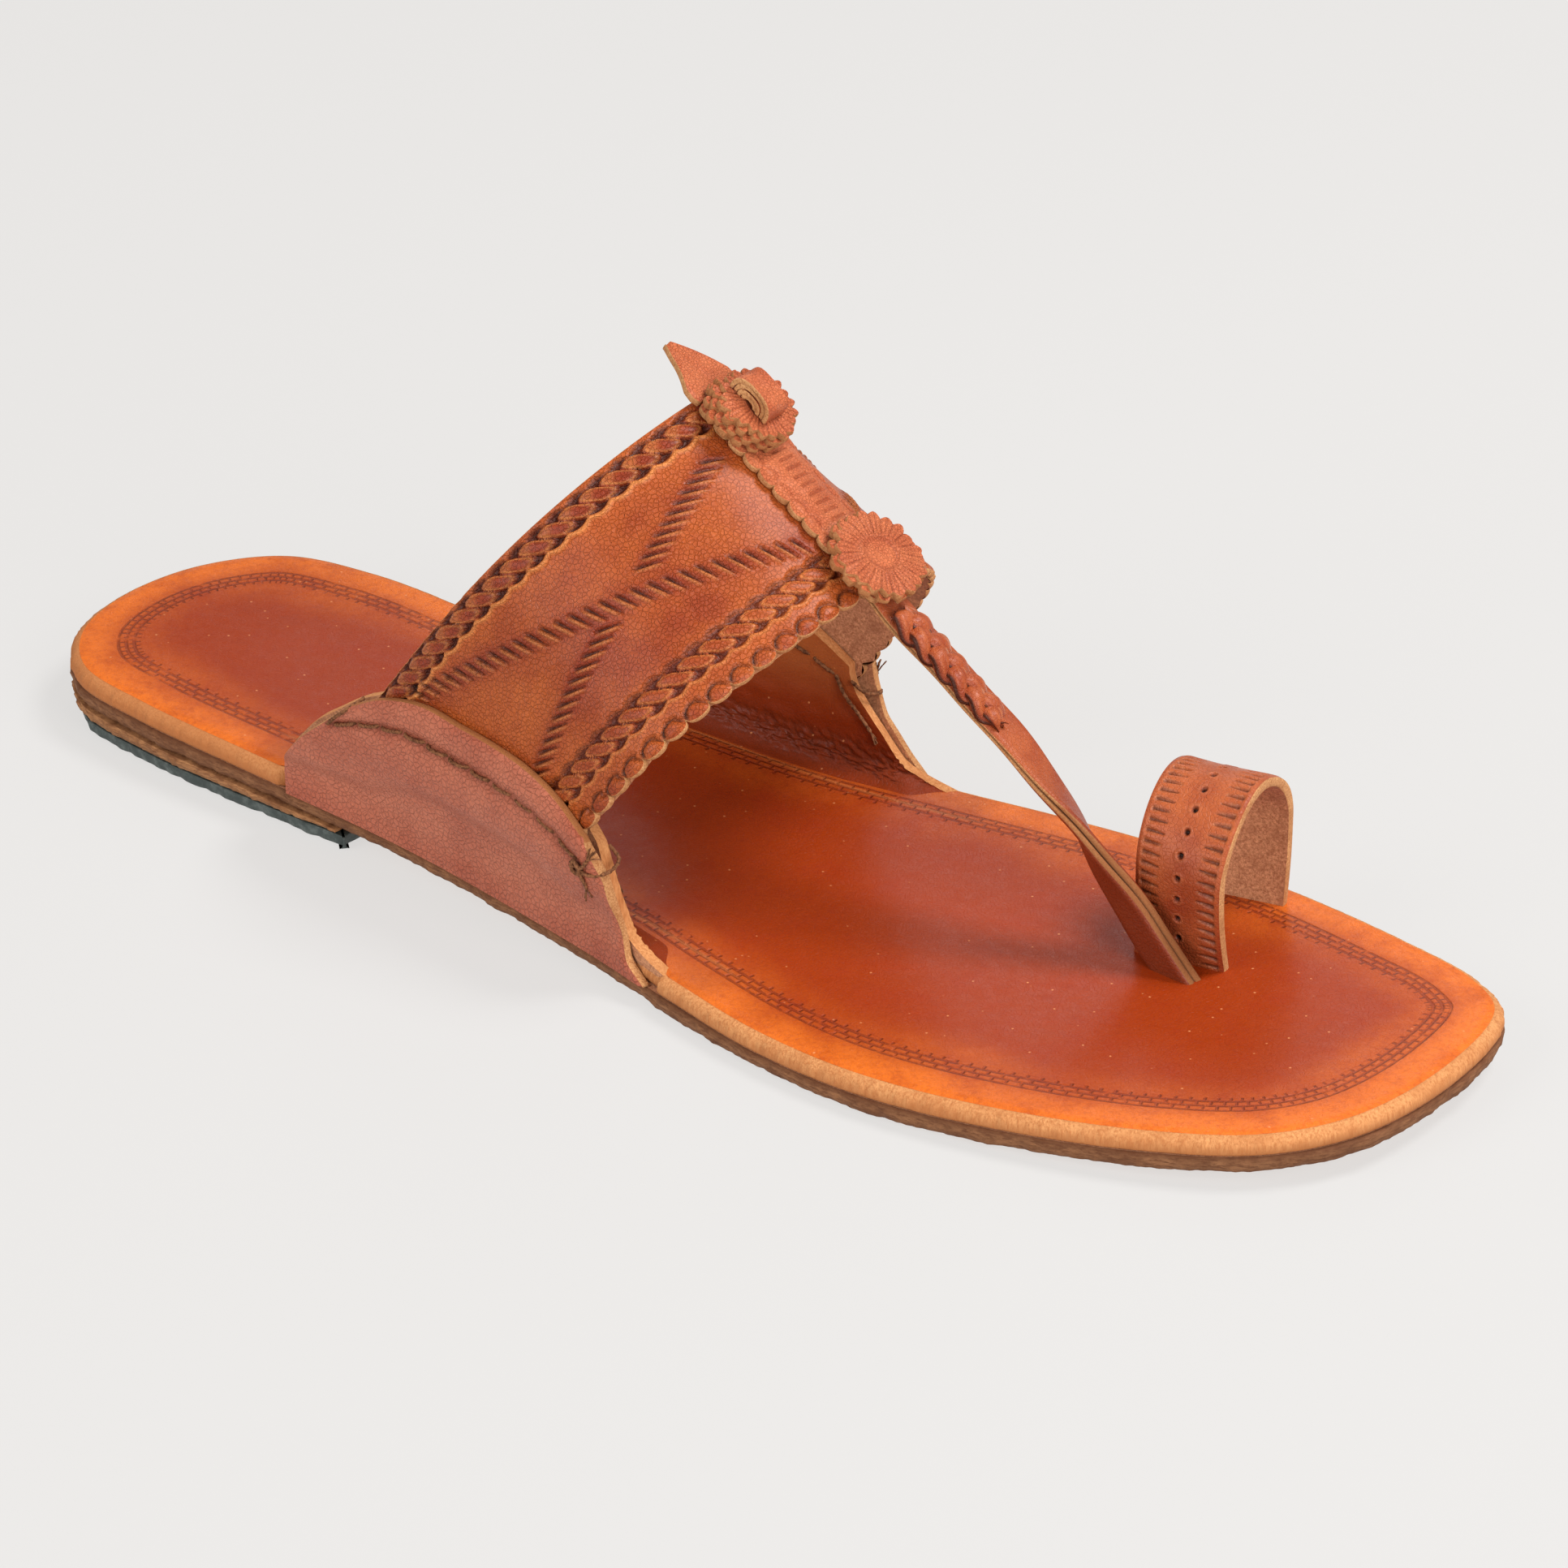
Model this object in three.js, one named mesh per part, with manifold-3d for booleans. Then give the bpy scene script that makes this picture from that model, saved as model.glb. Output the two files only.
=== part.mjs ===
// A right kolhapuri sandal. Millimetres, +X to the toe, +Y to the wearer's left (the big-toe side), +Z up.
// The origin is on the floor, under the middle of the shoe's length and width.
import * as THREE from "three";
import Module from "manifold-3d";

const wasm = await Module();
wasm.setup();

// The sole's driving sizes
const LENGTH = 283;
const BALL_WIDTH = 95;
const HEEL_HEIGHT = 12.6;
const INSOLE_THICK = 3.4;
const OUTSOLE_THICK = 3.25;
const RUBBER_THICK = 2.6;
const HEEL_LENGTH = 82.5;
const HEEL_BREAST_SLANT = 2;
const HEEL_INSET = 2;
const HEEL_TIP_LIFT = 1.4;
const HEEL_TIP_LENGTH = 24;
const INSOLE_BEVEL = 1.4;
const OUTSOLE_BEVEL = 1.2;
const OUTSOLE_BEVEL_SHARE = 0.35;
const SOLE_SECTIONS = 40;
const GAP = 0.3;

// The last's driving sizes: the ridge line of the instep, seen from the side, and the walls under it
const INSTEP_HEIGHT = 88.5;
const INSTEP_FROM_HEEL = 134.2;
const INSTEP_SLOPE = THREE.MathUtils.degToRad(35);
const RIDGE_OFFSET = 4.5;
const FOOT_LEVEL = 9;
const WALL_TUCK = 1;
const LATERAL_FLARE = 2.9;
const MEDIAL_FLARE = 1.6;
const FLARE_SHARE = 0.35;
const LATERAL_ROOF_POWER = 1.35;
const MEDIAL_ROOF_POWER = 1.6;
const WALL_POWER = 0.5;

// The instep band
const BAND_LENGTH = 44;
const BAND_WALL = 1.6;
const BAND_REAR_SWEEP = 2.4;
const BAND_FRONT_SWEEP = 1.4;
const BAND_OVERLAP = 12;
const BAND_TEETH = 34;
const TOOTH_DEPTH = 1.4;
const ROPE_WIDTH = 5.2;
const ROPE_RAISE = 0.5;
const ROPE_CLEAR = 1;
const ROPE_RUN_OUT = 2;
const REAR_ROPE_INSET = 0.7;
const FRONT_ROPE_INSET = 4.8;

// The ears, which rise from the sides of the sole and clasp the band
const EAR_FROM_HEEL = 70;
const EAR_LENGTH = 86.5;
const EAR_HEIGHT = 39.5;
const EAR_WALL = 1.8;
const EAR_SEAT_RUN = 1.5;
const EAR_BULGE = 6;
const EAR_BULGE_BELOW = 8;
const EAR_CLOSE = 6;
const EAR_CLOSE_AFTER = 3;
const INNER_EAR_WALL = 2.1;
const INNER_EAR_SET_BACK = 2.2;
const INNER_EAR_TUCK = 0.3;
const INNER_EAR_TUCK_SHARE = 0.06;
const EAR_FILLET = 4;
const EAR_FRONT_FILLET = 9;
const EAR_FRONT_FILLET_SHARE = 0.25;

// The thong between the toes, with its braid, and the toe loop
const THONG_WIDTH = 7;
const THONG_FOOT_WIDTH = 7;
const THONG_THICK = 1.8;
const THONG_FOOT_THICK = 3.2;
const THONG_TWIST = THREE.MathUtils.degToRad(80);
const THONG_TUCK = 5;
const THONG_TUCK_WIDTH = 5;
const THONG_BED = -0.2;
const THONG_BOW = 3.4;
const THONG_BOW_SHARE = 0.45;
const THONG_FOOT_FROM_HEEL = 227.8;
const THONG_FOOT_ACROSS = 10;
const BRAID_TOP_RADIUS = 3;
const BRAID_END_RADIUS = 2.4;
const BRAID_LENGTH = 24;
const BRAID_PITCH = 8.8;
const BRAID_WAIST = 0.66;
const BRAID_SEAT = 0.45;
const LOOP_WIDTH = 16.5;
const LOOP_WALL = 1.9;
const LOOP_SPAN = 26.3;
const LOOP_LEG = 16.3;
const LOOP_NEAR_SWELL = 3.3;
const LOOP_FAR_SWELL = 1.5;
const LOOP_TURN = THREE.MathUtils.degToRad(10.5);
const LOOP_FRONT_FROM_HEEL = 234.2;
const LOOP_ACROSS = 14.9;
const SLOT_DEPTH = 2.8;

// The trim along the ridge
const SPINE_START = 1.5;
const SPINE_HALF_WIDTH = 4.7;
const SPINE_SHIFT = 0.9;
const SPINE_WALL = 1.6;
const SPINE_OVERHANG = 2;
const SPINE_PITCH = 3.7;
const SPINE_TOOTH = 0.9;
const DISC_THICK = 1.5;
const DISC_RIM = 1.2;
const DISC_SINK = 0.3;
const DISC_TAPER = 0.03;
const DISC_DISH = 0.45;
const DISC_DISH_FLOOR = 0.38;
const FRONT_DISCS = 2;
const REAR_DISCS = 4;
const FRONT_ROSETTE_RADIUS = 8.8;
const REAR_ROSETTE_RADIUS = 7.8;
const FRONT_ROSETTE_ALONG = 40;
const REAR_ROSETTE_ALONG = 7.2;
const ROSETTE_TEETH = 20;
const ROSETTE_TOOTH = 1;
const LEAF_WIDTH = 11.3;
const LEAF_REACH = 12.2;
const LEAF_WALL = 1.4;
const LEAF_DROOP = 2;
const KNOT_WIDTH = 5.5;
const KNOT_SPAN = 9;
const KNOT_RISE = 3.6;
const KNOT_WALL = 1.5;

// How finely the curved surfaces are cut
const OUTLINE_SAMPLES = 800;
const RULER_SAMPLES = 160;
const RULER_MARGIN = 0.01;
const NORMAL_TURN = 0.06;
const NORMAL_STEP = 0.5;
const STATION_GAP = 0.3;
const TIP_TOLERANCE = 0.01;
const EAR_COLUMNS = 18;
const EAR_ROWS = [0, 0.08, 0.16, 0.28, 0.42, 0.56, 0.7, 0.85, 1];
const COLUMNS_PER_TOOTH = 3;
const LOOP_ARC_STEPS = 14;
const STRAP_SECTIONS = 24;
const BRAID_STEPS = 30;
const BRAID_SIDES = 10;
const SPINE_COLUMNS = 6;
const KNOT_STEPS = 8;

// Plan of the sole. along: share of the length from the heel. medial, lateral: shares of half the ball width.
const OUTLINE = [
  { along: 0.0125, medial: 0.36, lateral: 0.345 },
  { along: 0.05, medial: 0.63, lateral: 0.577 },
  { along: 0.114, medial: 0.72, lateral: 0.66 },
  { along: 0.214, medial: 0.72, lateral: 0.695 },
  { along: 0.357, medial: 0.7, lateral: 0.71 },
  { along: 0.5, medial: 0.785, lateral: 0.81 },
  { along: 0.571, medial: 0.87, lateral: 0.898 },
  { along: 0.643, medial: 0.954, lateral: 0.98 },
  { along: 0.721, medial: 1, lateral: 1 },
  { along: 0.804, medial: 0.975, lateral: 0.925 },
  { along: 0.893, medial: 0.886, lateral: 0.76 },
  { along: 0.954, medial: 0.783, lateral: 0.555 },
  { along: 0.9875, medial: 0.627, lateral: 0.27 },
];
const TOE_TIP_ACROSS = 0.2;

// Height of the insole's top. at: share of the length from the heel. top: share of the heel height.
const PROFILE = [
  { at: 0, top: 1 },
  { at: 0.143, top: 0.993 },
  { at: 0.25, top: 0.92 },
  { at: 0.357, top: 0.782 },
  { at: 0.5, top: 0.604 },
  { at: 0.643, top: 0.528 },
  { at: 0.75, top: 0.563 },
  { at: 0.857, top: 0.655 },
  { at: 1, top: 0.817 },
];

// Top edge of the ears. at: share of the way from the rear corner to the front one. The others: shares of the
// ear's height.
const EAR_TOP = [
  { at: 0, lateral: 0.875, medial: 0.86 },
  { at: 0.125, lateral: 0.955, medial: 0.94 },
  { at: 0.29, lateral: 1, medial: 0.98 },
  { at: 0.45, lateral: 0.98, medial: 0.97 },
  { at: 0.6, lateral: 0.96, medial: 0.93 },
  { at: 0.74, lateral: 0.925, medial: 0.87 },
  { at: 0.87, lateral: 0.858, medial: 0.78 },
  { at: 1, lateral: 0.752, medial: 0.66 },
];

// Rear and front edges of the ears. at: share of the height. The others: how far the edge has drawn in, as
// shares of the ear's length.
const EAR_EDGES = [
  { at: 0, rear: 0, lateralFront: 0, medialFront: 0 },
  { at: 0.1, rear: 0, lateralFront: 0.045, medialFront: 0.012 },
  { at: 0.2, rear: 0.003, lateralFront: 0.057, medialFront: 0.032 },
  { at: 0.32, rear: 0.016, lateralFront: 0.062, medialFront: 0.058 },
  { at: 0.45, rear: 0.046, lateralFront: 0.066, medialFront: 0.086 },
  { at: 0.63, rear: 0.096, lateralFront: 0.07, medialFront: 0.126 },
  { at: 0.8, rear: 0.16, lateralFront: 0.077, medialFront: 0.156 },
  { at: 0.92, rear: 0.207, lateralFront: 0.09, medialFront: 0.166 },
  { at: 1, rear: 0.243, lateralFront: 0.113, medialFront: 0.168 },
];

// Plan of the tail leaf. at: share of its reach from the spine strip to the tip. across: share of half its
// width.
const LEAF_SHAPE = [
  { at: 0, across: 0.9 },
  { at: 0.1, across: 1 },
  { at: 0.25, across: 0.98 },
  { at: 0.6, across: 0.56 },
  { at: 1, across: 0.1 },
];

const MATERIALS = {
  insole: { color: 0xb4501f, roughness: 0.4 },
  outsole: { color: 0x7a4a2c, roughness: 0.85 },
  heelLift: { color: 0xa9663a, roughness: 0.8 },
  rubber: { color: 0x2b2f2e, roughness: 0.7 },
  band: { color: 0xa9521f, roughness: 0.45 },
  ear: { color: 0x9c5540, roughness: 0.65 },
  trim: { color: 0xa65a3a, roughness: 0.55 },
};

const clamp = (value, low, high) => Math.min(Math.max(value, low), high);
const mix = (from, to, share) => from + (to - from) * share;

function smooth(share) {
  const held = clamp(share, 0, 1);
  return held * held * (3 - 2 * held);
}

// A smooth curve through one column of a table whose rows are ordered by `at`
function tableValue(table, column, at) {
  const last = table.length - 1;
  const place = clamp(at, table[0].at, table[last].at);
  let row = 0;
  while (row < last - 1 && table[row + 1].at < place) row += 1;
  const slope = (k) => (table[k + 1][column] - table[k][column]) / (table[k + 1].at - table[k].at);
  const tangent = (k) => (k === 0 ? slope(0) : k === last ? slope(last - 1) : (slope(k - 1) + slope(k)) / 2);
  const span = table[row + 1].at - table[row].at;
  const t = (place - table[row].at) / span;
  const bend = t * (1 - t) * span;
  const bow = tangent(row) * (1 - t) - tangent(row + 1) * t;
  const blend = mix(table[row][column], table[row + 1][column], t * t * (3 - 2 * t));
  return blend + bend * bow;
}

// Collects vertices and triangles, and gives one closed body with its faces out
class Shell {
  constructor() {
    this.points = [];
    this.faces = [];
  }

  point(vector) {
    this.points.push(vector);
    return this.points.length - 1;
  }

  line(vectors) {
    return vectors.map((vector) => this.point(vector));
  }

  triangle(a, b, c) {
    if (a !== b && b !== c && a !== c) this.faces.push([a, b, c]);
  }

  quad(a, b, c, d) {
    this.triangle(a, b, c);
    this.triangle(a, c, d);
  }

  // Joins two lines of vertices that run the same way and may differ in number
  stitch(first, second) {
    let i = 0;
    let j = 0;
    while (i < first.length - 1 || j < second.length - 1) {
      const ahead = (i + 1) / (first.length - 1);
      const behind = (j + 1) / (second.length - 1);
      if (j === second.length - 1 || (i < first.length - 1 && ahead <= behind)) {
        this.triangle(first[i], first[i + 1], second[j]);
        i += 1;
      } else {
        this.triangle(first[i], second[j + 1], second[j]);
        j += 1;
      }
    }
  }

  geometry() {
    let volume = 0;
    for (const [a, b, c] of this.faces) {
      const cross = new THREE.Vector3().crossVectors(this.points[b], this.points[c]);
      volume += this.points[a].dot(cross);
    }
    const faces = volume < 0 ? this.faces.map(([a, b, c]) => [a, c, b]) : this.faces;
    const positions = this.points.flatMap((point) => point.toArray());
    const geometry = new THREE.BufferGeometry();
    geometry.setAttribute("position", new THREE.Float32BufferAttribute(positions, 3));
    geometry.setIndex(faces.flat());
    geometry.computeVertexNormals();
    return geometry;
  }
}

function toSolid(geometry) {
  const vertProperties = new Float32Array(geometry.attributes.position.array);
  const triVerts = new Uint32Array(geometry.index.array);
  return new wasm.Manifold(new wasm.Mesh({ numProp: 3, vertProperties, triVerts }));
}

function fromSolid(solid) {
  const mesh = solid.getMesh();
  const geometry = new THREE.BufferGeometry();
  geometry.setAttribute("position", new THREE.Float32BufferAttribute(mesh.vertProperties, mesh.numProp));
  geometry.setIndex(Array.from(mesh.triVerts));
  geometry.computeVertexNormals();
  return geometry;
}

function joined(geometries) {
  return fromSolid(geometries.map(toSolid).reduce((whole, solid) => whole.add(solid)));
}

// A wall between an outer and an inner grid. Their rows have the same columns, and they may differ in rows.
function wallBetween(outer, inner) {
  const shell = new Shell();
  const skins = [outer, inner].map((grid) => grid.map((row) => shell.line(row)));
  skins.forEach((skin, side) => {
    for (let r = 0; r < skin.length - 1; r += 1) {
      for (let c = 0; c < skin[r].length - 1; c += 1) {
        const corners = [skin[r][c], skin[r][c + 1], skin[r + 1][c + 1], skin[r + 1][c]];
        shell.quad(...(side === 0 ? corners : corners.reverse()));
      }
    }
  });
  const [top, under] = skins;
  const column = (skin, c) => skin.map((row) => row.at(c));
  shell.stitch(under[0], top[0]);
  shell.stitch(top.at(-1), under.at(-1));
  shell.stitch(column(top, 0), column(under, 0));
  shell.stitch(column(under, -1), column(top, -1));
  return shell.geometry();
}

// The sole's plan

function outlineSides() {
  const half = BALL_WIDTH / 2;
  const spot = (along, across) => new THREE.Vector3((along - 0.5) * LENGTH, across * half, 0);
  const loop = [
    spot(0, 0),
    ...OUTLINE.map((row) => spot(row.along, row.medial)),
    spot(1, TOE_TIP_ACROSS),
    ...OUTLINE.toReversed().map((row) => spot(row.along, -row.lateral)),
  ];
  const curve = new THREE.CatmullRomCurve3(loop, true, "centripetal");
  const points = curve.getPoints(OUTLINE_SAMPLES);
  const toe = Math.round(OUTLINE_SAMPLES / 2);
  const furthest = (side, count) => Math.max(...side.slice(0, count).map((spot) => spot.x));
  const rising = (side) => side.filter((spot, k) => k === 0 || spot.x > furthest(side, k));
  return { medial: rising(points.slice(0, toe + 1)), lateral: rising(points.slice(toe).toReversed()) };
}

const SIDES = outlineSides();

// The sole's edge at x, as y. side is 1 for medial and -1 for lateral.
function edgeAt(x, side) {
  const line = side > 0 ? SIDES.medial : SIDES.lateral;
  const next = clamp(line.findIndex((p) => p.x >= x), 1, line.length - 1);
  const from = line[next - 1];
  const to = line[next];
  return mix(from.y, to.y, clamp((x - from.x) / (to.x - from.x), 0, 1));
}

const heelX = -LENGTH / 2;
const fromHeel = (distance) => heelX + distance;
const insoleTop = (x) => HEEL_HEIGHT * tableValue(PROFILE, "top", (x - heelX) / LENGTH);
const insoleUnder = (x) => insoleTop(x) - INSOLE_THICK;
const outsoleTop = (x) => insoleUnder(x) - GAP;
const outsoleUnder = (x) => Math.max(outsoleTop(x) - OUTSOLE_THICK, 0);

const earRearX = fromHeel(EAR_FROM_HEEL);
const earFrontX = earRearX + EAR_LENGTH;

// Where the ears stand, the insole's edge gives way to them by this much
function earSeat(x) {
  const inside = Math.min(x - (earRearX - EAR_SEAT_RUN), earFrontX + EAR_SEAT_RUN - x);
  return (WALL_TUCK + GAP) * clamp(inside / EAR_SEAT_RUN + 1, 0, 1);
}

// Places along the length where a layer of the sole has a section, closer together at both rounded ends
function stations(from, to, extra) {
  const turns = Array.from({ length: SOLE_SECTIONS + 1 }, (_, k) => (Math.PI * k) / SOLE_SECTIONS);
  const even = turns.map((turn) => (-LENGTH / 2) * Math.cos(turn));
  const places = [...even.filter((x) => x > from + 1 && x < to - 1), ...extra, from, to];
  places.sort((a, b) => a - b);
  return places.filter((x, k) => k === 0 || x - places[k - 1] > STATION_GAP);
}

// A layer of the sole, from a list of rings: how far each lies inside the outline, and its height along x
function soleLayer(from, to, rings, extra = []) {
  const places = stations(from, to, extra);
  const heelTip = SIDES.medial[0].x + TIP_TOLERANCE;
  const toeTip = SIDES.medial.at(-1).x - TIP_TOLERANCE;
  const tipped = (x) => x <= heelTip || x >= toeTip;
  const rim = (side) => places.map((x) => new THREE.Vector2(x, edgeAt(x, tipped(x) ? 1 : side)));
  const shell = new Shell();
  const sides = [1, -1].map(rim);
  const outward = (side, k) => {
    const line = sides[side];
    const other = sides[1 - side];
    const before = k === 0 ? (tipped(places[0]) ? other[1] : line[0]) : line[k - 1];
    const after = k === line.length - 1 ? (tipped(places[k]) ? other[k - 1] : line[k]) : line[k + 1];
    const run = after.clone().sub(before).normalize();
    return new THREE.Vector2(-run.y, run.x).multiplyScalar(side === 0 ? 1 : -1);
  };
  const levels = rings.map(({ inset, height }) => {
    const rows = sides.map((line, side) =>
      line.map((spot, k) => {
        const depth = typeof inset === "function" ? inset(spot.x) : inset;
        const moved = spot.clone().addScaledVector(outward(side, k), -depth);
        return shell.point(new THREE.Vector3(moved.x, moved.y, height(spot.x)));
      }),
    );
    for (const k of [0, places.length - 1]) if (tipped(places[k])) rows[1][k] = rows[0][k];
    return rows;
  });
  const loops = levels.map(([medial, lateral]) => [...medial, ...lateral.toReversed()]);
  for (let level = 0; level < loops.length - 1; level += 1) {
    const upper = loops[level];
    const lower = loops[level + 1];
    upper.forEach((_, k) => {
      const next = (k + 1) % upper.length;
      shell.quad(upper[k], lower[k], lower[next], upper[next]);
    });
  }
  const cap = ([medial, lateral], flip) => {
    for (let k = 0; k < medial.length - 1; k += 1) {
      const corners = [medial[k], medial[k + 1], lateral[k + 1], lateral[k]];
      shell.quad(...(flip ? corners.reverse() : corners));
    }
  };
  cap(levels[0], false);
  cap(levels.at(-1), true);
  return shell.geometry();
}

function insoleSlab() {
  const low = (x) => insoleTop(x) - INSOLE_BEVEL;
  const runs = [EAR_SEAT_RUN, 2 * EAR_SEAT_RUN];
  const ends = [...runs.map((run) => earRearX - run), ...runs.map((run) => earFrontX + run)];
  return soleLayer(heelX, -heelX, [
    { inset: (x) => earSeat(x) + INSOLE_BEVEL, height: insoleTop },
    { inset: earSeat, height: low },
    { inset: earSeat, height: insoleUnder },
  ], ends);
}

function outsole() {
  const low = (x) => mix(outsoleUnder(x), outsoleTop(x), OUTSOLE_BEVEL_SHARE);
  return soleLayer(heelX, -heelX, [
    { inset: 0, height: outsoleTop },
    { inset: 0, height: low },
    { inset: OUTSOLE_BEVEL, height: outsoleUnder },
  ]);
}

const breastX = fromHeel(HEEL_LENGTH);
const rubberTop = () => RUBBER_THICK;
const rubberUnder = (x) => HEEL_TIP_LIFT * smooth((heelX + HEEL_TIP_LENGTH - x) / HEEL_TIP_LENGTH);

function heelLift() {
  return soleLayer(heelX, breastX - HEEL_BREAST_SLANT, [
    { inset: 0, height: (x) => outsoleUnder(x) - GAP },
    { inset: HEEL_INSET / 2, height: (x) => rubberTop(x) + GAP },
  ]);
}

function heelRubber() {
  return soleLayer(heelX, breastX, [
    { inset: HEEL_INSET / 2, height: rubberTop },
    { inset: HEEL_INSET, height: rubberUnder },
  ]);
}

// The last: a ridge line that slopes down to the toe, and sections square to it

const slopeRun = new THREE.Vector3(Math.cos(INSTEP_SLOPE), 0, -Math.sin(INSTEP_SLOPE));
const slopeUp = new THREE.Vector3(Math.sin(INSTEP_SLOPE), 0, Math.cos(INSTEP_SLOPE));
const ridgeStart = new THREE.Vector3(fromHeel(INSTEP_FROM_HEEL), RIDGE_OFFSET, INSTEP_HEIGHT);

const ridgePoint = (along, height) =>
  ridgeStart.clone().addScaledVector(slopeRun, along).addScaledVector(slopeUp, height);

// How far the wall's foot lies below the ridge in the section at `along`
function footDrop(along) {
  return (INSTEP_HEIGHT - FOOT_LEVEL - along * Math.sin(INSTEP_SLOPE)) / Math.cos(INSTEP_SLOPE);
}

// Distance from the ridge's plane to the wall at x, before the roof draws it in
function reach(x, side, rise) {
  const flare = side > 0 ? MEDIAL_FLARE : LATERAL_FLARE;
  const lean = mix(-WALL_TUCK, flare, smooth(rise / FLARE_SHARE));
  return Math.abs(edgeAt(x, side) - RIDGE_OFFSET) + lean;
}

// The share of that distance that the roof leaves, from the share of the way down the section
const roofShare = (out, side) => out ** (side > 0 ? MEDIAL_ROOF_POWER : LATERAL_ROOF_POWER);

// A point of the last. turn goes from 0 at the lateral foot over pi/2 at the ridge to pi at the medial foot.
function lastPoint(along, turn) {
  const rise = Math.sin(turn) ** WALL_POWER;
  const side = turn > Math.PI / 2 ? 1 : -1;
  const point = ridgePoint(along, -footDrop(along) * (1 - rise));
  point.y = RIDGE_OFFSET + side * reach(point.x, side, rise) * roofShare(Math.abs(Math.cos(turn)), side);
  return point;
}

function lastNormal(along, turn) {
  const step = Math.min(NORMAL_TURN, Math.min(turn, Math.PI - turn) / 3);
  const low = turn - step;
  const high = turn + step;
  const across = lastPoint(along, high).sub(lastPoint(along, low));
  const ahead = lastPoint(along + NORMAL_STEP, turn).sub(lastPoint(along - NORMAL_STEP, turn));
  return ahead.cross(across).normalize();
}

function offLast(along, turn, height) {
  return lastPoint(along, turn).addScaledVector(lastNormal(along, turn), height);
}

// Place of x and z in the ridge's plane: how far down the slope, and how far under the ridge
function onSlope(x, z) {
  const spot = new THREE.Vector3(x, RIDGE_OFFSET, z).sub(ridgeStart);
  return { along: spot.dot(slopeRun), drop: -spot.dot(slopeUp) };
}

// The same surface as a wall: its y at a given x and z on one side
function wallPoint(x, z, side) {
  const { along, drop } = onSlope(x, z);
  const rise = clamp(1 - drop / footDrop(along), 0, 1);
  const inward = roofShare(Math.sqrt(1 - rise ** (2 / WALL_POWER)), side);
  return new THREE.Vector3(x, RIDGE_OFFSET + side * reach(x, side, rise) * inward, z);
}

function offWall(x, z, side, height) {
  const ahead = wallPoint(x + 1, z, side).sub(wallPoint(x - 1, z, side));
  const above = wallPoint(x, z + 1, side).sub(wallPoint(x, z - 1, side));
  const normal = above.cross(ahead).multiplyScalar(side).normalize();
  return wallPoint(x, z, side).addScaledVector(normal, height);
}

// Samples of one section with their distance from the ridge along the surface, negative on the lateral side
function sectionRuler(along) {
  const count = 2 * RULER_SAMPLES;
  const turnOf = (k) => mix(RULER_MARGIN, Math.PI - RULER_MARGIN, k / count);
  const turns = Array.from({ length: count + 1 }, (_, k) => turnOf(k));
  const points = turns.map((turn) => lastPoint(along, turn));
  const reachOf = [0];
  for (let k = 1; k < points.length; k += 1) {
    reachOf.push(reachOf[k - 1] + points[k].distanceTo(points[k - 1]));
  }
  const middle = reachOf[RULER_SAMPLES];
  return turns.map((turn, k) => ({ turn, out: reachOf[k] - middle, point: points[k] }));
}

function turnAt(ruler, out) {
  const next = clamp(ruler.findIndex((row) => row.out >= out), 1, ruler.length - 1);
  const from = ruler[next - 1];
  const to = ruler[next];
  return mix(from.turn, to.turn, clamp((out - from.out) / (to.out - from.out), 0, 1));
}

// The ears

const sideName = (side) => (side > 0 ? "medial" : "lateral");

function earFrame(side) {
  const name = sideName(side);
  const rear = (up) => earRearX + EAR_LENGTH * tableValue(EAR_EDGES, "rear", up);
  const front = (up) => earFrontX - EAR_LENGTH * tableValue(EAR_EDGES, `${name}Front`, up);
  const top = (share) => EAR_HEIGHT * tableValue(EAR_TOP, name, share);
  return { rear, front, top };
}

// Height of an ear's top edge over x
function earTopOver(x, side) {
  const { rear, front, top } = earFrame(side);
  return top((x - rear(1)) / (front(1) - rear(1)));
}

// A grid on an ear's wall. spread moves its front edge ahead, and base gives the height of its lower edge.
function earGrid(side, ups, base, spread, height) {
  const { rear, front, top } = earFrame(side);
  return ups.map((up) =>
    Array.from({ length: EAR_COLUMNS + 1 }, (_, k) => {
      const share = k / EAR_COLUMNS;
      const x = mix(rear(up), front(up) + spread(up), share);
      const z = mix(base(x), top(share), up);
      return offWall(x, z, side, height(x, z, up));
    }),
  );
}

// An outer ear bulges out over the band. Below the band, and ahead of it, it closes on the inner ear.
function outerEar(side) {
  const lift = (x, z) => {
    const bandFoot = earTopOver(x, side) - BAND_OVERLAP;
    const ahead = onSlope(x, z).along - (BAND_LENGTH - BAND_FRONT_SWEEP);
    const overFoot = smooth((z - bandFoot + EAR_BULGE_BELOW) / EAR_BULGE);
    return (BAND_WALL + GAP) * overFoot * smooth((EAR_CLOSE_AFTER + EAR_CLOSE - ahead) / EAR_CLOSE);
  };
  const even = () => 0;
  const outer = earGrid(side, EAR_ROWS, insoleUnder, even, (x, z) => lift(x, z) + EAR_WALL);
  const inner = earGrid(side, EAR_ROWS, insoleUnder, even, lift);
  return wallBetween(outer, inner);
}

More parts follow.
